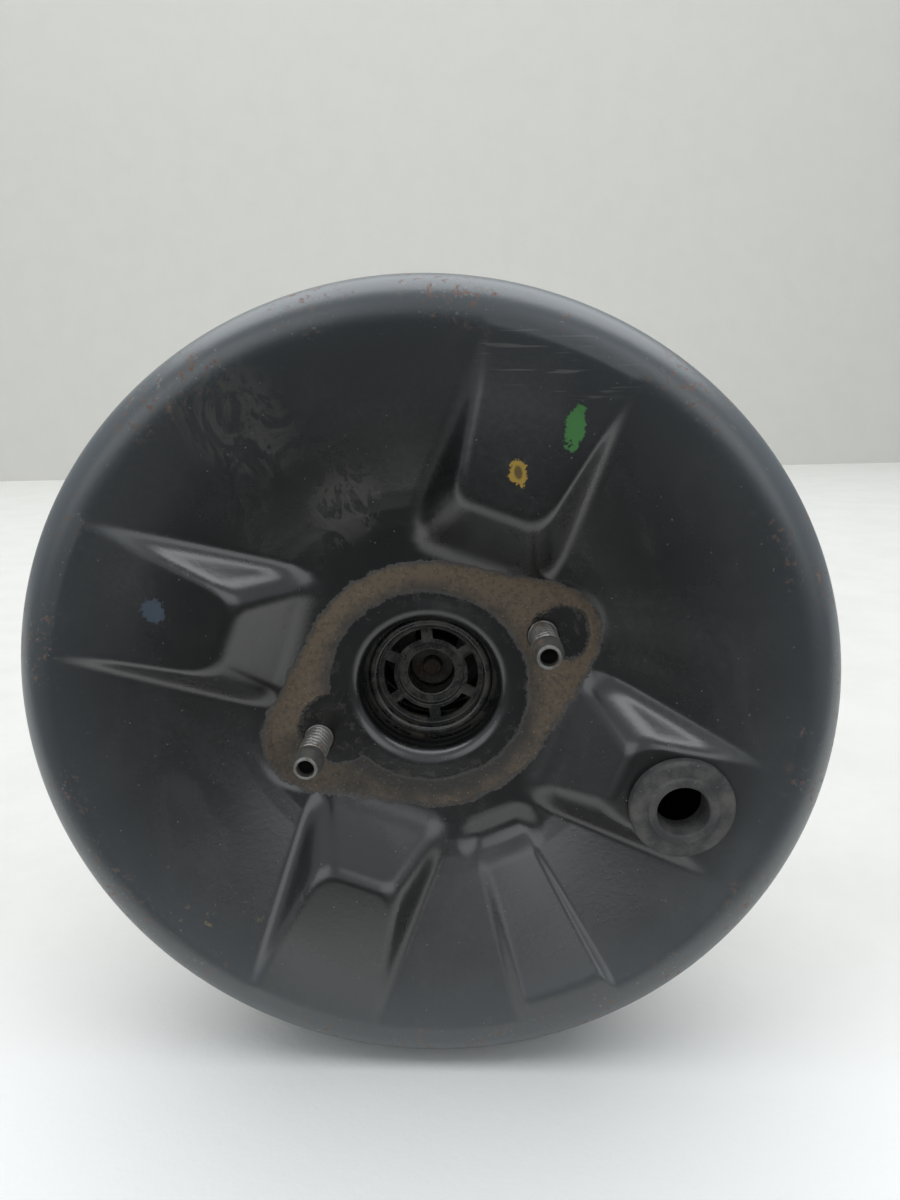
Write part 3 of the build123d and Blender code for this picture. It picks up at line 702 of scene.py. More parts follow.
def box_cutter(low, high, turn):
    """A square punch between two corners of (radial, station, sideways), turned about the axis."""
    points = []
    for out, station, side in itertools.product(*zip(low, high)):
        points.append((out * math.cos(turn) - side * math.sin(turn), -station,
                       out * math.sin(turn) + side * math.cos(turn)))
    faces = [(0, 1, 3, 2), (4, 6, 7, 5), (0, 4, 5, 1), (2, 3, 7, 6), (0, 2, 6, 4), (1, 5, 7, 3)]
    return new_piece("notch", points, faces)


gap_low = (125.2, 56, -CRIMP_GAP_HALF)
gap_high = (132, 60, CRIMP_GAP_HALF)
notches = [box_cutter(gap_low, gap_high, math.tau * index / CRIMP_GAPS) for index in range(CRIMP_GAPS)]
cut(shell, joined("notches", notches), 50)

# %% [markdown]
# ## What the paint needs to know
# Dirt gathers in hollows, paint wears off ridges, and the clean ring on the seat is where the
# master cylinder sat. The paler ridges also stand for a painted highlight along them. Blender can
# find hollows while it renders (pointiness), but only as finely as the mesh. Working them out from
# the relief's formula and storing them on the points is exact.


# %% Stored values on the shell
def store(piece, name, values):
    """Keeps one value for each point of the mesh, for the finish to read."""
    attribute = piece.data.attributes.new(name, "FLOAT", "POINT")
    attribute.data.foreach_set("value", np.asarray(values, np.float32))


def point_places(piece):
    """Where the mesh's points are: x, station and z in millimetres."""
    count = len(piece.data.vertices)
    places = np.zeros(count * 3, np.float32)
    piece.data.vertices.foreach_get("co", places)
    places = places.reshape(-1, 3).astype(float) / MM
    return places[:, 0], -places[:, 1], places[:, 2]


def hollow_depth(x, z, reach):
    """How far the skin lies below the mean of its surroundings, in millimetres."""
    around = [pressed_station(x + reach * math.cos(t), z + reach * math.sin(t))
              for t in np.linspace(0, math.tau, 8, endpoint=False)]
    return np.mean(around, 0) - pressed_station(x, z)


# %% Values for the shell's paint
CLEAN_SPOTS = [(44.5, 19.5, 9.5), (-32, -15, 13.0)]  # x, z and reach of what the nuts kept clean
OFF_SEAT = -60  # stored where the skin isn't the front of the dish
HOLLOW_REACH = 3.0
ON_SKIN = 0.4  # a point this close to the relief is on the front skin

x, station, z = point_places(shell)
radius = np.hypot(x, z)
on_dish = (radius < CROWN_START) & (np.abs(station - pressed_station(x, z)) < ON_SKIN)
hollow = np.where(on_dish, hollow_depth(x, z, HOLLOW_REACH), 0)
store(shell, "hollow", hollow)
store(shell, "seat", np.where(on_dish, -seat_distance(x, z), OFF_SEAT))
store(shell, "to_axis", radius)
store(shell, "past_clean", np.min([np.hypot(x - cx, z - cz) - reach for cx, cz, reach in CLEAN_SPOTS], 0))
store(shell, "station", station)
print("points on the dish", int(on_dish.sum()), "deepest hollow", round(float(hollow.max()), 2))

# %% [markdown]
# ## Marks on the paint
# The paint carries four kinds of marks: rust where the rim was knocked, road dirt on the seat,
# smears and scratches, and the dabs of colour that an inspector brushed on. Painting them on
# an image would tie them to one view and one size. As functions that add layers to a finish they
# stay sharp close up, and each can be read and changed alone.


# %% Rust on the rim
def rim_rust(paint):
    """Orange-brown specks and bare streaks along the rim and the crimp."""
    axis = paint.stored("to_axis")
    edge = paint.times(paint.band(axis, 112, 121), paint.band(axis, 140, 128))
    spots = paint.band(paint.noise(2.4, 5, 0.75, shift=4.0), 0.56, 0.62)
    patches = paint.band(paint.noise(26, 3, 0.6, shift=9.0), 0.46, 0.56)
    paint.layer(paint.times(edge, spots, patches, 0.85), tint(122, 84, 62), 0.85)
    streaks = paint.band(paint.noise(1.3, 4, 0.7, shift=12.0), 0.60, 0.68)
    paint.layer(paint.times(edge, streaks, patches, 0.6), tint(150, 148, 144), 0.45)


# %% [markdown]
# ### Dirt on the seat
# The master cylinder's flange kept a ring round the bore and two spots round the nuts clean and
# oily. Everything else on the seat caught dirt, lighter towards the top and darker towards the
# bottom. The edges are broken up by adding noise to a distance before it is cut off.


# %% Dirt on the seat
def seat_dirt(paint, grain):
    """Tan road dirt on the seat, clean under the master cylinder's boss and round the studs."""
    breakup = paint.times(paint.sum("SUBTRACT", paint.noise(6, 5, 0.65, shift=7.0), 0.5), 5.0)
    fine = paint.times(paint.sum("SUBTRACT", paint.noise(1.2, 3, 0.7, shift=2.5), 0.5), 2.0)
    inside = paint.band(paint.sum("ADD", paint.stored("seat"), breakup, fine), -3.2, -1.2)
    axis = paint.sum("ADD", paint.stored("to_axis"), fine, paint.times(breakup, 0.5))
    past_ring = paint.band(axis, 33.0, 35.2)
    past_spot = paint.band(paint.sum("ADD", paint.stored("past_clean"), fine, breakup), -0.6, 0.9)
    dirt = paint.times(inside, past_ring, past_spot)
    place = paint.add("ShaderNodeSeparateXYZ")
    paint.feed(place.inputs[0], paint.where)
    # the dirt is made lighter towards the top and darker towards the bottom
    high = paint.band(place.outputs["Z"], -0.045, 0.015)
    brown = paint.noise(11, 5, 0.65, shift=13.0)
    rubbed = paint.band(axis, 34, 42)
    thickness = paint.sum("ADD", paint.times(brown, 0.5), paint.times(high, 0.25), paint.times(rubbed, 0.25))
    cake = paint.band(thickness, 0.34, 0.72)
    shade = paint.add("ShaderNodeMix", data_type="RGBA")
    paint.feed(shade.inputs[0], cake)
    paint.feed(shade.inputs[6], tint(44, 41, 36))
    paint.feed(shade.inputs[7], tint(112, 96, 76))
    paint.layer(paint.times(dirt, 0.95), shade.outputs[2], 0.92)
    paint.layer(paint.times(dirt, paint.band(grain, 0.5, 0.62), 0.45), tint(50, 43, 34), 0.95)
    sticks = paint.band(paint.noise(2.2, 5, 0.75, (1, 1, 2), shift=21.0), 0.55, 0.61)
    paint.layer(paint.times(dirt, sticks, paint.sum("SUBTRACT", 1.1, high)), tint(22, 20, 18), 0.6)
    crumbs = paint.band(paint.cells(1.9, shift=5.0), 0.16, 0.09)
    paint.layer(paint.times(dirt, crumbs, 0.7), tint(146, 132, 108), 0.9)
    film = paint.times(paint.band(axis, 28, 34), paint.sum("SUBTRACT", 1.0, past_ring))
    spill = paint.times(paint.sum("SUBTRACT", 1.0, past_spot), inside)
    oily = paint.sum("MAXIMUM", film, spill)
    paint.layer(paint.times(oily, 0.8), tint(10, 10, 10), 0.2)
    smutch = paint.band(paint.noise(4, 5, 0.7, shift=17.0), 0.5, 0.66)
    paint.layer(paint.times(oily, smutch, 0.28), tint(74, 66, 54), 0.7)
    paint.relief(paint.times(dirt, grain), 0.3)
    paint.relief(paint.times(dirt, cake), 0.5)


# %% [markdown]
# ### Smears, scratches and dabs
# Each of these is noise kept inside an oval spot. The spot is a mapping that is pulled to an
# oval, so the distance from its middle is 1 at its edge whatever its size and lean.


# %% Smears and scratches
WIPE_HIGH = (-55, 92)
WIPE_LOW = (-25, 62)
SCRATCHED = (38, 106)
FLECKED = (-75, -78)


def spot_distance(paint, centre, size, lean):
    """Distance from a place on the front, in spot sizes: 1 at the spot's edge."""
    mapping = paint.add("ShaderNodeMapping", vector_type="TEXTURE")
    paint.feed(mapping.inputs["Vector"], paint.where)
    mapping.inputs["Location"].default_value = (centre[0] * MM, 0, centre[1] * MM)
    mapping.inputs["Rotation"].default_value = (0, math.radians(lean), 0)
    mapping.inputs["Scale"].default_value = (size[0] * MM, 1000, size[1] * MM)
    length = paint.add("ShaderNodeVectorMath", operation="LENGTH")
    paint.feed(length.inputs[0], mapping.outputs["Vector"])
    return length.outputs["Value"]


def wipe_marks(paint):
    """Pale smears left by a greasy rag, high on the left of the dish, and streaks on the top pad."""
    front = paint.band(paint.stored("station"), SEAT, SEAT + 4)
    rag = paint.noise(13, 6, 0.68, (1, 1, 0.55), shift=31.0, warp=2.2)
    edges = paint.times(paint.band(rag, 0.47, 0.54), paint.band(rag, 0.66, 0.56))
    for centre, size, lean in ((WIPE_HIGH, (20, 26), -35), (WIPE_LOW, (14, 18), 20)):
        near = paint.band(spot_distance(paint, centre, size, lean), 1.0, 0.4)
        paint.layer(paint.times(near, edges, front, 0.5), tint(80, 80, 74), 0.5)
    line = paint.band(paint.noise(2.2, 2, 0.4, (0.12, 1, 2.6), shift=41.0), 0.63, 0.68)
    near = paint.band(spot_distance(paint, SCRATCHED, (28, 12), 12), 1.0, 0.6)
    paint.layer(paint.times(near, line, front, 0.55), tint(110, 110, 108), 0.4)
    ochre = paint.band(paint.noise(3.0, 4, 0.7, shift=47.0), 0.62, 0.67)
    near = paint.band(spot_distance(paint, FLECKED, (22, 18), 0), 1.0, 0.5)
    paint.layer(paint.times(near, ochre, front, 0.6), tint(120, 104, 66), 0.7)


# %% Inspection dabs
def paint_dab(paint, centre, size, lean, colour, shift, hollow=0.0):
    """A brushed inspection dab on a pad, ragged at its edges; hollow thins its middle."""
    away = spot_distance(paint, centre, size, lean)
    ragged = paint.sum("ADD", away, paint.times(
        paint.sum("SUBTRACT", paint.noise(1.9, 5, 0.75, shift=shift), 0.5), 2.3))
    front = paint.band(paint.stored("station"), PAD_TOP - 3, PAD_TOP - 2)
    share = paint.times(paint.band(ragged, 1.0, 0.9), front)
    if hollow:
        middle = paint.times(paint.band(away, 0.6, 0.35), hollow)
        share = paint.times(share, paint.sum("SUBTRACT", 1.0, middle))
    paint.layer(share, colour, 0.5)


def paint_dabs(paint):
    """A green and a yellow dab on the top pad, and a faded blue one on the left pad."""
    paint_dab(paint, (44.3, 87.6), (2.9, 6.6), 8, tint(44, 128, 40), 14.0)
    paint_dab(paint, (28.4, 74.7), (2.5, 4.2), -10, tint(184, 148, 26), 15.0, 0.7)
    paint_dab(paint, (-83.5, 32.8), (3.6, 4.0), 0, tint(42, 62, 80), 16.0)


# %% [markdown]
# ## Black paint
# The shells are dipped in a glossy black paint that has been under a bonnet for years. Under the
# paint's gloss there is a slight orange peel; over it lie dust, faint smears from wiping, pale
# specks, and rust where the rim was knocked. The same recipe serves both shells, and the front
# shell also gets the dirt of its seat, the smears and the dabs.


# %% Paint recipe
def black_paint(name, with_seat):
    """Gloss paint under a painted reflection and highlight towards the rim, dust, specks, and rubbed ridges
    that are partly a painted highlight; the front shell has more on top.
    """
    paint = Finish(name, tint(11, 12, 12), 0.23, Specular_IOR_Level=1.0, IOR=1.62)
    cloud = paint.noise(60, 5, 0.6, warp=0.6)
    paint.layer(paint.band(cloud, 0.4, 0.7), tint(19, 20, 21), 0.32)
    smear = paint.noise(22, 6, 0.62, (1, 1, 0.45), shift=3.0, warp=1.2)
    paint.layer(paint.times(paint.band(smear, 0.52, 0.72), 0.3), tint(52, 53, 52), 0.4)
    axis = paint.stored("to_axis")
    # painted reflection: a bluish grey over the outer dish stands for sky mirrored in the gloss
    paint.layer(paint.times(paint.band(axis, 78, 134), 0.85), tint(68, 74, 78), 0.36)
    # painted highlight: a paler blue-grey band along the rim's edge
    paint.layer(paint.times(paint.band(axis, 114, 130), 0.4), tint(104, 117, 124), 0.34)
    grain = paint.noise(1.6, 3, 0.7, shift=8.0)
    dust = paint.times(paint.band(grain, 0.35, 0.75), paint.band(cloud, 0.3, 0.75), 0.12)
    paint.layer(dust, tint(96, 94, 88), 0.55)
    speck = paint.band(paint.cells(3.6, shift=2.0), 0.085, 0.04)
    sparse = paint.band(paint.noise(9, 2, 0.5, shift=11.0), 0.44, 0.56)
    paint.layer(paint.times(speck, sparse, 0.6), tint(150, 142, 128), 0.8)
    # paler rubbed ridges: worn paint that is also a painted highlight along the ridges
    ridge = paint.band(paint.stored("hollow"), -0.25, -0.9)
    rub = paint.band(paint.noise(3.5, 4, 0.7, shift=5.0), 0.5, 0.68)
    paint.layer(paint.times(ridge, rub, 0.35), tint(92, 92, 92), 0.42)
    settle = paint.band(paint.stored("hollow"), 0.3, 1.3)
    paint.layer(paint.times(settle, paint.band(grain, 0.2, 0.7), 0.5), tint(80, 70, 56), 0.75)
    if with_seat:
        seat_dirt(paint, grain)
        wipe_marks(paint)
        paint_dabs(paint)
    rim_rust(paint)
    peel = paint.noise(2.6, 2, 0.5, shift=6.0)
    paint.relief(peel, 0.02)
    waves = paint.noise(38, 1, 0.4, shift=1.0)
    paint.relief(waves, 0.4)
    paint.relief(paint.band(grain, 0.4, 0.8), 0.012)
    return paint.done()


# %% Painting the front shell
dress(shell, black_paint("black_paint_front", True), "housing", "black_paint", "front_shell")
rear_paint = black_paint("black_paint_rear", False)

# %% [markdown]
# ## Bare and plated metal
# Studs and rods are steel that was once plated and has dulled to grey, with brown rust where
# water stands. Steel is a metal in the shader; the rust over it is not, so the metal value is
# lowered where the rust lies. The same goes for the painted shade in a stud's socket, a dark brown
# laid where the hole would be in shade.


# %% Steel recipes
RUST = ((78, 56, 42), (132, 92, 62))  # dark and light
# painted shade: the rust darkened for the screw far down the hub
RUST_IN_SHADE = ((34, 26, 20), (62, 46, 34))


def dull_steel(name, grey, rust_share, roughness=0.42, rust=RUST):
    """Plated steel gone dull; rust_share is how much of it has bloomed, from 0 to 1."""
    steel = Finish(name, tint(grey, grey, grey - 4), roughness)
    cloud = steel.noise(7, 5, 0.65)
    fine = steel.noise(0.9, 4, 0.7, shift=3.0)
    steel.layer(steel.band(cloud, 0.3, 0.7), tint(grey - 26, grey - 28, grey - 32), roughness + 0.16)
    bright = tint(grey + 22, grey + 20, grey + 14)
    steel.layer(steel.times(steel.band(fine, 0.5, 0.7), 0.5), bright, roughness - 0.08)
    bloom = steel.times(steel.band(cloud, 0.62 - 0.3 * rust_share, 0.78 - 0.3 * rust_share),
                        steel.band(fine, 0.35, 0.6))
    tone = steel.add("ShaderNodeMix", data_type="RGBA")
    steel.feed(tone.inputs[0], steel.band(steel.noise(2.5, 4, 0.6, shift=6.0), 0.35, 0.65))
    steel.feed(tone.inputs[6], tint(*rust[0]))
    steel.feed(tone.inputs[7], tint(*rust[1]))
    steel.layer(bloom, tone.outputs[2], 0.9)
    # painted shade: the socket is coloured dark brown and made less metal, for the shade down the hole
    socket = steel.stored("socket")
    steel.layer(socket, tint(22, 18, 15), 0.9)
    metal = steel.sum("SUBTRACT", 0.85, steel.times(steel.sum("MAXIMUM", bloom, socket), 0.8))
    steel.feed(steel.shader.inputs["Metallic"], metal)
    steel.relief(fine, 0.03)
    steel.relief(bloom, 0.05)
    return steel.done()


stud_steel = dull_steel("stud_steel", 158, 0.3, 0.36)
plated_steel = dull_steel("plated_steel", 168, 0.12, 0.34)
spring_steel = dull_steel("spring_steel", 110, 0.08, 0.36)
# painted shade: dark steel and rust for the screw that sits far down the hub
rusty_steel = dull_steel("rusty_steel", 52, 0.95, 0.7, RUST_IN_SHADE)

# %% [markdown]
# ## Master-cylinder studs
# Each stud is pressed through a plate behind the seat and stands out for a nut. Its thread is cut
# as a helix: the radius dips once per pitch while the dip walks round the stud. That is real
# geometry, so the thread still shows in the bare mesh. The end is turned down with a socket in it.


# %% Threads
STUD_PITCH = 1.25
STUD_THREAD = 0.5
SOCKET_DEPTH = 6.0
IN_SOCKET = 2.7  # points of a stud this close to its axis are in the socket


def metric_thread(pitch, depth, back, front):
    """Depth to take off the radius for a thread between two stations."""
    def dip(station, turn):
        """Depth of the groove at a station and a turn, fading out at both ends."""
        phase = station / pitch - turn / math.tau
        groove = 0.5 - 0.5 * np.cos(math.tau * phase)
        fade = smooth((station - back) / pitch) * smooth((front - station) / pitch)
        return depth * groove * fade
    return dip


# %% Studs
def cylinder_stud(name, centre):
    """One stud: its head in the plate, its shank and thread, the narrowed end and its socket."""
    outline = rounded(
        (0, 72), (9, 72, 1), (9, 76.5, 0.5), (5.2, 76.5), (5.2, SEAT), (4.8, SEAT),
        (4.8, STUD_TIP - 6.6, 0.3), (5.05, STUD_TIP - 6.2, 0.3), (5.05, STUD_TIP - 4.8, 0.4),
        (3.9, STUD_TIP - 0.5, 0.5), (2.9, STUD_TIP, 0.3),
        (2.5, STUD_TIP - SOCKET_DEPTH + 1, 0.4), (0, STUD_TIP - SOCKET_DEPTH),
        closed=False)
    thread = metric_thread(STUD_PITCH, STUD_THREAD, SEAT - 1, STUD_TIP - 7.2)
    return spun(name, divided(outline, 0.28), 64, closed=False, centre=centre, thread=thread, sharp=60)


studs = joined("master_cylinder_studs", [cylinder_stud("stud", c) for c in stud_centres], 60)
x, station, z = point_places(studs)
to_stud = np.min([np.hypot(x - cx, z - cz) for cx, cz in stud_centres], 0)
# the socket's points get the painted shade of the hole
store(studs, "socket", (to_stud < IN_SOCKET) & (station > SEAT))
dress(studs, stud_steel, "housing", "stud_steel", "mc_studs")
print("stud faces", len(studs.data.polygons))

# %% [markdown]
# ## Rubber
# Old rubber is matt and greyish, under a chalky bloom that comes in soft clouds, with grit and pale
# crumbs on it. One recipe gives the grommet's grey rubber and the black rubber of the boot, the
# seal and the diaphragm, from a shade and an amount of bloom.


# %% Rubber recipe
def old_rubber(name, shade, bloom):
    """Matt rubber of a grey shade from 0 to 255, under a chalky bloom."""
    rubber = Finish(name, tint(shade, shade, shade + 1), 0.62, Specular_IOR_Level=0.35)
    chalk = tint(shade + 50, shade + 48, shade + 44)
    grit = tint(shade + 72, shade + 68, shade + 60)
    crumb = tint(shade + 88, shade + 80, shade + 66)
    cloud = rubber.noise(8, 5, 0.62)
    grain = rubber.noise(0.7, 3, 0.7, shift=4.0)
    rubber.layer(rubber.times(rubber.band(cloud, 0.35, 0.7), bloom), chalk, 0.78)
    rubber.layer(rubber.times(rubber.band(grain, 0.55, 0.75), 0.4 * bloom), grit, 0.85)
    rubber.layer(rubber.times(rubber.band(rubber.cells(3.0), 0.12, 0.05), 0.4), crumb, 0.85)
    rubber.relief(grain, 0.05)
    rubber.relief(rubber.noise(3.2, 3, 0.6, shift=9.0), 0.12)
    return rubber.done()


grommet_rubber = old_rubber("grommet_rubber", 70, 0.6)
black_rubber = old_rubber("black_rubber", 28, 0.35)

# %% [markdown]
# ### Check-valve grommet
# A rubber ring snaps into the hole of the fourth pad and would hold the check valve's stem. It has
# a neck in the sheet, a flange on each side, a raised ring on its face and a mouth that narrows
# inwards. One outline spun about the hole's own axis gives all of it.

# %% Check-valve grommet
INNER_FACE = PAD_TOP - SHEET
LIP_HEIGHT = 4.6
grommet_outline = rounded(
    (GROMMET_BORE - 0.9, PAD_TOP - LIP_HEIGHT, 0.5), (12.4, PAD_TOP - LIP_HEIGHT, 1),
    (13.4, INNER_FACE, 0.4), (GROMMET_NECK, INNER_FACE, 0.3), (GROMMET_NECK, PAD_TOP, 0.3),
    (17.0, PAD_TOP, 0.3), (17.0, PAD_TOP + 3.6, 1.4), (11.6, PAD_TOP + 3.5, 0.5),
    (11.2, PAD_TOP + LIP_HEIGHT, 0.5), (GROMMET_BORE, PAD_TOP + LIP_HEIGHT, 0.9),
    arc_step=math.radians(14))
grommet = spun("check_valve_grommet_ring", grommet_outline, 120, centre=grommet_centre)
dress(grommet, grommet_rubber, "housing", "grommet_rubber", "check_valve_grommet")
print("grommet faces", len(grommet.data.polygons))

# %% [markdown]
# ## Guide ring
# Down the bore sits a moulded ring that guides the output rod: a rounded bead, a web with six
# windows and a hub tube. It is spun like the rest and its windows are punched, because a spun
# outline keeps every bead truly round. Its plastic is black with a film of brown dust.


# %% Moulded plastic recipe
def moulded_plastic(name, base, dust_colour, dust):
    """Smooth moulded plastic with a film of dust, from 0 to 1."""
    plastic = Finish(name, base, 0.2, Specular_IOR_Level=1.0)
    cloud = plastic.noise(6, 5, 0.65)
    grain = plastic.noise(0.8, 4, 0.7, shift=2.0)
    plastic.layer(plastic.times(plastic.band(cloud, 0.38, 0.68), dust), dust_colour, 0.8)
    plastic.layer(plastic.times(plastic.band(grain, 0.56, 0.7), dust), dust_colour, 0.85)
    crumbs = plastic.band(plastic.cells(2.4, shift=1.0), 0.1, 0.05)
    plastic.layer(plastic.times(crumbs, 0.6), tint(150, 142, 126), 0.7)
    plastic.relief(grain, 0.06)
    return plastic.done()


dusty_plastic = moulded_plastic("dusty_plastic", tint(16, 17, 18), tint(86, 80, 70), 0.45)
dark_phenolic = moulded_plastic("dark_phenolic", tint(34, 26, 22), tint(92, 76, 60), 0.3)


# %% Guide ring
WINDOWS = 6
FIRST_SPOKE = math.radians(35)
SPOKE_HALF = 2.0
WINDOW_INSIDE = 13.2
WINDOW_OUTSIDE = 16.9
WEB_BACK = 65.6
GUIDE_FRONT = 72.0


def window_cutter(turn):
    """One window between two spokes, its ends parallel to the spokes."""
    rim = []
    for reach, step in ((WINDOW_INSIDE, 1), (WINDOW_OUTSIDE, -1)):
        trim = math.asin(SPOKE_HALF / reach)
        arc = np.linspace(turn + trim, turn + math.tau / WINDOWS - trim, 9)[::step]
        rim += [on_line(reach, t) for t in arc]
    return prism("window", rim, WEB_BACK - 1.6, WEB_BACK + 4.4)


guide = spun("guide_ring_moulding", rounded(
    (8.2, 54), (8.2, 65.5, 0.7), (11.7, 65.5, 0.4), (11.7, 67.6, 0.3), (18.8, 67.6, 0.4),
    (18.8, GUIDE_FRONT, 1.4), (21.9, GUIDE_FRONT, 1.4), (21.9, 70.4), (24.2, 70.4), (24.2, GUIDE_FRONT),
    (34, GUIDE_FRONT, 0.3), (34, 70.5, 0.3), (26.5, 70.5, 1), (21.9, WEB_BACK, 1), (12.7, WEB_BACK, 1),
    (10.2, 61.5), (10.2, 54)), 180)
spoke_turns = [FIRST_SPOKE + index * math.tau / WINDOWS for index in range(WINDOWS)]
cut(guide, joined("windows", [window_cutter(turn) for turn in spoke_turns]))
dress(guide, dusty_plastic, "housing", "black_plastic", "guide_ring")

# %% [markdown]
# ### Output rod
# The rod that pushes the master cylinder is turned steel with a flat foot, bored at its tip for an
# adjusting screw. Only the screw's rusty end shows, far down the hub, and its colours are darkened
# as a painted shade of the hub. Both are spun outlines, and the screw's thread comes from the same
# function as the studs'.


# %% Output rod and its screw
output_rod = spun("output_rod_turned", rounded(
    (0, 17), (14.5, 17, 0.6), (14.5, 20.7, 1), (8.12, 20.7, 1.5), (8.12, 57, 0.8), (3.6, 57), (3.6, 44),
    (0, 44), closed=False), 96, closed=False)
dress(output_rod, dull_steel("rod_steel", 84, 0.3, 0.5), "piston", "plated_steel", "output_rod")
screw_outline = rounded((0, 44.2), (3.45, 44.2, 0.4), (3.45, 61, 0.8), (0, 61.4), closed=False)
output_screw = spun("output_rod_screw_turned", divided(screw_outline, 0.3), 48, closed=False,
                    thread=metric_thread(1.0, 0.25, 44, 59))
dress(output_screw, rusty_steel, "piston", "rusty_steel", "output_rod_screw")
print("output rod and screw faces", len(output_rod.data.polygons), len(output_screw.data.polygons))

# %% [markdown]
# ## Rear shell
# From behind, the booster shows a stepped shell: a flat face that bolts to the bulkhead, a cone, a
# wall, and a flange that the front shell is crimped over. In the middle is the neck that the valve
# body slides through. It is one outline of sheet steel with both of its skins, spun in one piece.

# %% Rear shell
REAR_WALL = 118.0
FLANGE = 60.0
rear_skin = rounded(
    (21, NECK_END), (26, NECK_END, 1.2), (26, 0, 1.5), (62, 0, 9), (110, 24, 12), (REAR_WALL, 38, 12),
    (REAR_WALL, FLANGE, 2.5), (131.7, FLANGE), (131.7, FLANGE + SHEET),
    (REAR_WALL - SHEET, FLANGE + SHEET, 0.5), (REAR_WALL - SHEET, 38.5, 10), (108.8, 25.6, 10),
    (61.5, SHEET, 7), (24, SHEET, 0.5),
    (24, NECK_END + SHEET), (21, NECK_END + SHEET))
rear = spun("rear_shell_skin", rear_skin, 256)
x, _, z = point_places(rear)
store(rear, "to_axis", np.hypot(x, z))
dress(rear, rear_paint, "housing", "black_paint", "rear_shell")
print("rear shell faces", len(rear.data.polygons))

# %% [markdown]
# ## Dust boot
# A rubber bellows grips the neck and the end of the valve body's sleeve. It is a zigzag line given
# thickness and spun. It folds up as the piston slides, so the folds are a mesh of their own, apart
# from the grip on the neck. Air gets in through eight holes in its end.

# %% Dust boot
FOLDS = 5
VENTS = 8
VENT_PLACE = 14.6
VENT_RADIUS = 1.8
FOLD_PITCH = 6.2
BOOT_RUBBER = 1.0
FOLDS_START = NECK_END - 1.5
grip_line = rounded((27.1, -14), (27.1, FOLDS_START, 1.2), (25.2, FOLDS_START), closed=False)
fold_corners = [(25.2, FOLDS_START)]
for index in range(FOLDS):
    fold = FOLDS_START - index * FOLD_PITCH
    fold_corners += [(22.4, fold - FOLD_PITCH * 0.25, 1.0), (28.6, fold - FOLD_PITCH * 0.75, 1.0)]
fold_corners += [(20.8, SLEEVE_END + 2.5, 1.0), (20.8, SLEEVE_END - 0.8, 1.4), (9.5, SLEEVE_END - 0.8)]
boot_grip = spun("dust_boot_grip", thickened(grip_line, BOOT_RUBBER), 128)
boot_folds = spun("dust_boot_folds", thickened(rounded(*fold_corners, closed=False), BOOT_RUBBER), 128)
vent_places = [on_line(VENT_PLACE, math.tau * index / VENTS) for index in range(VENTS)]
vents = [pin_cutter(VENT_RADIUS, SLEEVE_END - 3, SLEEVE_END + 3, place, 24) for place in vent_places]
cut(boot_folds, joined("vents", vents))
dress(boot_grip, black_rubber, "housing", "black_rubber", "dust_boot")
dress(boot_folds, black_rubber, "housing", "black_rubber", "dust_boot")


def flatten(piece):
    """Gives a soft piece a mesh of its own."""
    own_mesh(piece)


flatten(boot_folds)

# %% [markdown]
# ## Spring and diaphragm
# The return spring is a wire swept along a helix; its rings of points stay square to the wire. It
# and the diaphragm have one end that stands still while the other rides on the piston; here both
# hang on the housing, each with a mesh of its own.

# %% Return spring
BACK_END = 15.0
FRONT_END = 70.4
WIRE = 3.8
MEAN = 28.8
COILS = 5.5


def helix_points(rings, around):
    """Rings of points round a wire that climbs in a helix about the axis."""
    turn = np.linspace(0, COILS * math.tau, rings)[:, None]
    low, high = BACK_END + WIRE / 2, FRONT_END - WIRE / 2
    rise = (high - low) / (COILS * math.tau)
    lean = math.atan2(rise, MEAN)
    section = np.linspace(0, math.tau, around, endpoint=False)[None, :]
    outward = WIRE / 2 * np.cos(section)
    upward = WIRE / 2 * np.sin(section)
    radius = MEAN + outward
    x = radius * np.cos(turn) + upward * math.sin(lean) * np.sin(turn)
    z = radius * np.sin(turn) - upward * math.sin(lean) * np.cos(turn)
    station = low + rise * turn + upward * math.cos(lean)
    return np.stack([x, -station, z], -1).reshape(-1, 3)


SPRING_RINGS = 240
WIRE_AROUND = 16
wire_faces = ring_faces(SPRING_RINGS, WIRE_AROUND, False).tolist()
first_cap = list(range(WIRE_AROUND))[::-1]
last_cap = list(range((SPRING_RINGS - 1) * WIRE_AROUND, SPRING_RINGS * WIRE_AROUND))
mesh = bpy.data.meshes.new("return_spring_wire")
wire_points = helix_points(SPRING_RINGS, WIRE_AROUND) * MM
mesh.from_pydata(wire_points.tolist(), [], wire_faces + [first_cap, last_cap])
smooth_edges(mesh, 45)
spring = placed("return_spring_wire", mesh)
dress(spring, spring_steel, "housing", "spring_steel", "return_spring")
flatten(spring)

# %% [markdown]
# ### Diaphragm
# The diaphragm is a rubber sheet held under the crimp at its rim and on the valve body at its
# middle, with a slack run along the wall between them. One line is drawn through the middle of the
# rubber and given thickness, so both skins follow it.

# %% Diaphragm
diaphragm_line = rounded(
    (20.5, 8.2), (25.2, 8.2, 1), (25.2, 10.8, 1), (56, 10.8, 8), (104.5, 31.2, 6), (109.5, 40.5, 4),
    (115, 49, 4), (115, 61.5, 3), (131, 62.8), closed=False)
diaphragm = spun("diaphragm_rubber", thickened(diaphragm_line, 1.8), 160)
dress(diaphragm, black_rubber, "housing", "black_rubber", "diaphragm")
flatten(diaphragm)

# %% [markdown]
# ## The pieces kept from the model
# The rest is mostly inside, or shows only from behind. Those bodies keep the model's own meshes
# and get finishes: phenolic for the valve body, steel for plates, studs and springs, brass for the
# plunger, felt and foam for the air filter.


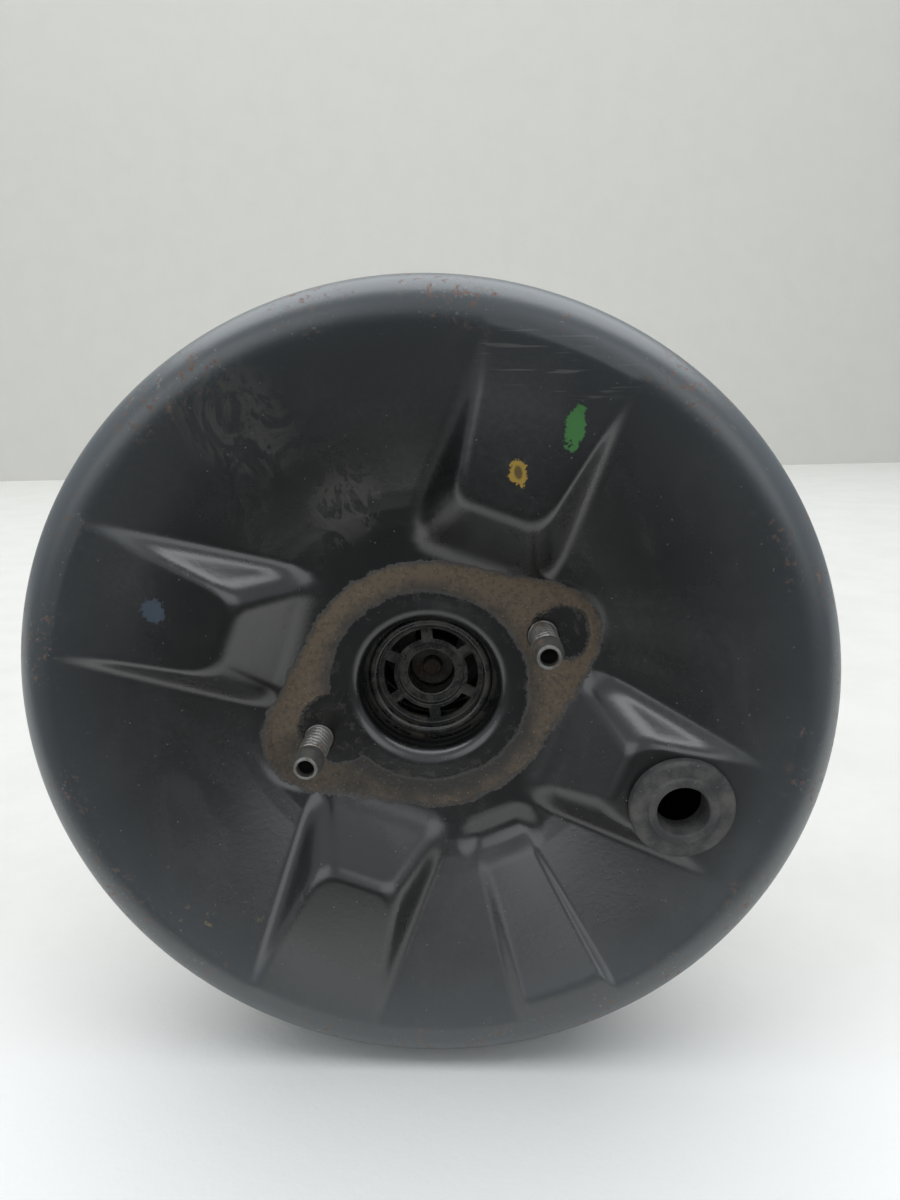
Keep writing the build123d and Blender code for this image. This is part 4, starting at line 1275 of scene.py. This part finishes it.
# %% Felt and foam
def fibre(name, colour, pale, size):
    """Matted fibres or open cells, soft and fully rough."""
    felt = Finish(name, colour, 0.95, Specular_IOR_Level=0.2)
    strands = felt.noise(size, 6, 0.75, (1, 0.35, 1))
    felt.layer(felt.band(strands, 0.4, 0.65), pale, 0.98)
    soiled = felt.band(felt.noise(9, 4, 0.6, shift=3.0), 0.45, 0.7)
    felt.layer(felt.times(soiled, 0.5), tint(70, 62, 50), 0.98)
    felt.relief(strands, 0.35)
    return felt.done()


felt = fibre("air_felt", tint(120, 112, 96), tint(150, 142, 124), 0.8)
foam = fibre("filter_foam", tint(44, 44, 44), tint(66, 66, 64), 1.2)

# %% Brass
brass = Finish("brass", tint(176, 140, 84), 0.35, Metallic=1.0)
brass.layer(brass.band(brass.noise(3, 5, 0.6), 0.4, 0.7), tint(128, 98, 58), 0.5)
brass.relief(brass.noise(0.8, 3, 0.6), 0.03)
brass = brass.done()

# %% Who wears what
FINISHES = {
    stud_steel: ("front_plate", "rear_stud_plate", "bearing_retainer", "stop_key"),
    plated_steel: ("diaphragm_plate", "spring_seat_cup", "poppet_ring", "poppet_retainer",
                   "spring_collar", "bulkhead_studs", "input_rod", "clevis_lock_nut", "clevis"),
    spring_steel: ("poppet_spring", "input_return_spring"),
    dark_phenolic: ("valve_body",),
    dusty_plastic: ("rear_bearing",),
    black_rubber: ("rear_seal", "reaction_disc", "control_poppet"),
    brass: ("plunger",),
    felt: ("air_silencer",),
    foam: ("air_filter", "bulkhead_gasket"),
}
for finish, names in FINISHES.items():
    for name in names:
        node = nodes[name]
        node.data.materials.clear()
        node.data.materials.append(finish)
print("dressed model pieces", sum(len(names) for names in FINISHES.values()))

# %% [markdown]
# ## The soft pieces of the control valve
# Inside the valve body the return spring of the input rod shortens as the plunger moves, and the
# poppet's rubber lip and its small spring follow the poppet ring. Their shapes in the model are
# right, so each is copied as it is into a piece of its own.


# %% Soft copies
def soft_copy(name, body, finish, slot):
    """The model's own shape as a new piece, dressed and standing for the model's node."""
    piece = placed(name + "_soft", nodes[name].data.copy())
    return dress(piece, finish, body, slot, name)


rod_spring = soft_copy("input_return_spring", "piston", spring_steel, "spring_steel")
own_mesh(rod_spring)

# %% Poppet and its spring
for name, finish, slot in (("control_poppet", black_rubber, "black_rubber"),
                           ("poppet_spring", spring_steel, "spring_steel")):
    piece = soft_copy(name, None, finish, slot)
    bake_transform(piece)

# %% [markdown]
# ## Floor and wall
# The booster stands on its skirt on a white surface before a grey wall. Both are single faces with
# a faint mottle. Towards the viewer the floor is painted whiter to the camera, a painted light where
# the lamps reach it less. The floor in front of what the camera sees is dark to every other ray, a
# painted shadow of the viewer and the room behind, so that gloss paint doesn't mirror an endless
# white plain.


# %% Floor and wall
FLOOR = cad_box[0].z
WALL_LEFT = 1.44  # the wall stands a little askew
WALL_RIGHT = 2.78
FLOOR_REACH = 4.0
WALL_HEIGHT = 4.0
# painted light: towards the viewer the floor is whiter to the camera, where the lamps light it less
BRIGHT_START = 0.0  # towards the viewer the floor gets whiter between these two
BRIGHT_END = -0.15
SHADE_START = -0.17  # the floor in front of this is out of view
SHADE_END = -0.3


def plain_sheet(name, corners, colour, roughness, mottle):
    """A large flat face with faint mottling, and the finish it will wear."""
    mesh = bpy.data.meshes.new(name)
    mesh.from_pydata(corners, [], [(0, 1, 2, 3)])
    sheet = placed(name, mesh)
    finish = Finish(name, colour, roughness)
    cloud = finish.band(finish.noise(60, 5, 0.6), 0.35, 0.7)
    finish.layer(finish.times(cloud, mottle), tint(190, 190, 184), roughness)
    finish.relief(finish.noise(4, 3, 0.6), 0.2)
    return sheet, finish


floor, floor_finish = plain_sheet(
    "floor", [(-FLOOR_REACH, -FLOOR_REACH, FLOOR), (FLOOR_REACH, -FLOOR_REACH, FLOOR),
              (FLOOR_REACH, WALL_RIGHT, FLOOR), (-FLOOR_REACH, WALL_LEFT, FLOOR)],
    tint(232, 231, 227), 0.6, 0.12)
split = floor_finish.add("ShaderNodeSeparateXYZ")
floor_finish.feed(split.inputs[0], floor_finish.where)
seen = floor_finish.add("ShaderNodeLightPath").outputs["Is Camera Ray"]
viewer_shadow_zone = floor_finish.band(split.outputs["Y"], SHADE_START, SHADE_END)
near = floor_finish.band(split.outputs["Y"], BRIGHT_START, BRIGHT_END)
# painted light for camera rays near the viewer
floor_finish.layer(floor_finish.times(near, seen), tint(255, 255, 253))
unseen = floor_finish.sum("SUBTRACT", 1.0, seen)
# painted shadow of the viewer: dark to every ray but the camera's, so the gloss paint mirrors it
floor_finish.layer(floor_finish.times(viewer_shadow_zone, unseen), tint(62, 62, 62))
floor.data.materials.append(floor_finish.done())
wall, wall_finish = plain_sheet(
    "wall", [(-FLOOR_REACH, WALL_LEFT, FLOOR), (FLOOR_REACH, WALL_RIGHT, FLOOR),
             (FLOOR_REACH, WALL_RIGHT, WALL_HEIGHT), (-FLOOR_REACH, WALL_LEFT, WALL_HEIGHT)],
    tint(212, 211, 205), 0.8, 0.1)
wall.data.materials.append(wall_finish.done())


# %% [markdown]
# ## Lamps
# A big lamp overhead lights the upward walls of the pads, and two windows behind the viewer fill
# the lower dish, with a gap between them where the viewer stands. Black gloss paint shows lamps
# far more than colour, so the lamps' sizes and places shape the relief. A picture of a room wrapped
# round the scene could do the same, but three lamps are easier to read and to change.


# %% Lamps and world
def soft_lamp(name, place, aim, size, radiance, colour):
    """A flat lamp that looks at a point; its brightness is given as seen, not as power."""
    lamp = bpy.data.lights.new(name, "AREA")
    lamp.shape = "RECTANGLE"
    lamp.size, lamp.size_y = size
    lamp.energy = radiance * math.pi * size[0] * size[1]
    lamp.color = colour
    holder = placed(name, lamp)
    holder.location = place
    holder.rotation_euler = (Vector(aim) - Vector(place)).to_track_quat("-Z", "Y").to_euler()


soft_lamp("ceiling_lamp", (0.0, 0.3, 2.2), (0, 0.3, 0), (5.0, 3.0), 1.75, (0.97, 0.985, 1.0))
WINDOW_ASIDE = 1.8
for side in (-1, 1):
    place = (side * WINDOW_ASIDE, -2.6, 0.7)
    soft_lamp("window", place, (place[0], 0, 0.1), (2.4, 1.7), 0.68, (0.97, 0.99, 1.0))
world = bpy.data.worlds.new("room")
bpy.context.scene.world = world
world.use_nodes = True
sky = world.node_tree.nodes["Background"]
sky.inputs["Color"].default_value = (0.9, 0.95, 1.0, 1)
sky.inputs["Strength"].default_value = 0.4

# %% [markdown]
# ## Camera
# The view is close, from in front of the booster, above its axis and a little to the right, tilted
# down, with a short lens. The camera's three axes are written out, because the slight roll matters
# for where the wall meets the floor.

# %% Camera
LENS = 24  # millimetres, for a sensor 36 mm wide
camera = bpy.data.cameras.new("camera")
camera.sensor_width = 36
camera.lens = LENS
camera.clip_start = 0.01
viewer = placed("camera", camera)
back = Vector((0.0321, -0.9676, 0.2506)).normalized()
right = (Vector((0.9995, 0.0311, -0.0080)) - back * back.dot((0.9995, 0.0311, -0.0080))).normalized()
up = back.cross(right)
placing = Matrix((right, up, back)).transposed().to_4x4()
placing.translation = (0.0160, -0.3380, 0.0973)
viewer.matrix_world = placing
bpy.context.scene.camera = viewer
bpy.context.scene.view_settings.view_transform = "Standard"
print("camera", round(placing.translation.length, 3), "m from the bulkhead's middle")

# %% [markdown]
# ## Sizes
# The model's box is printed in millimetres where the model is read in.
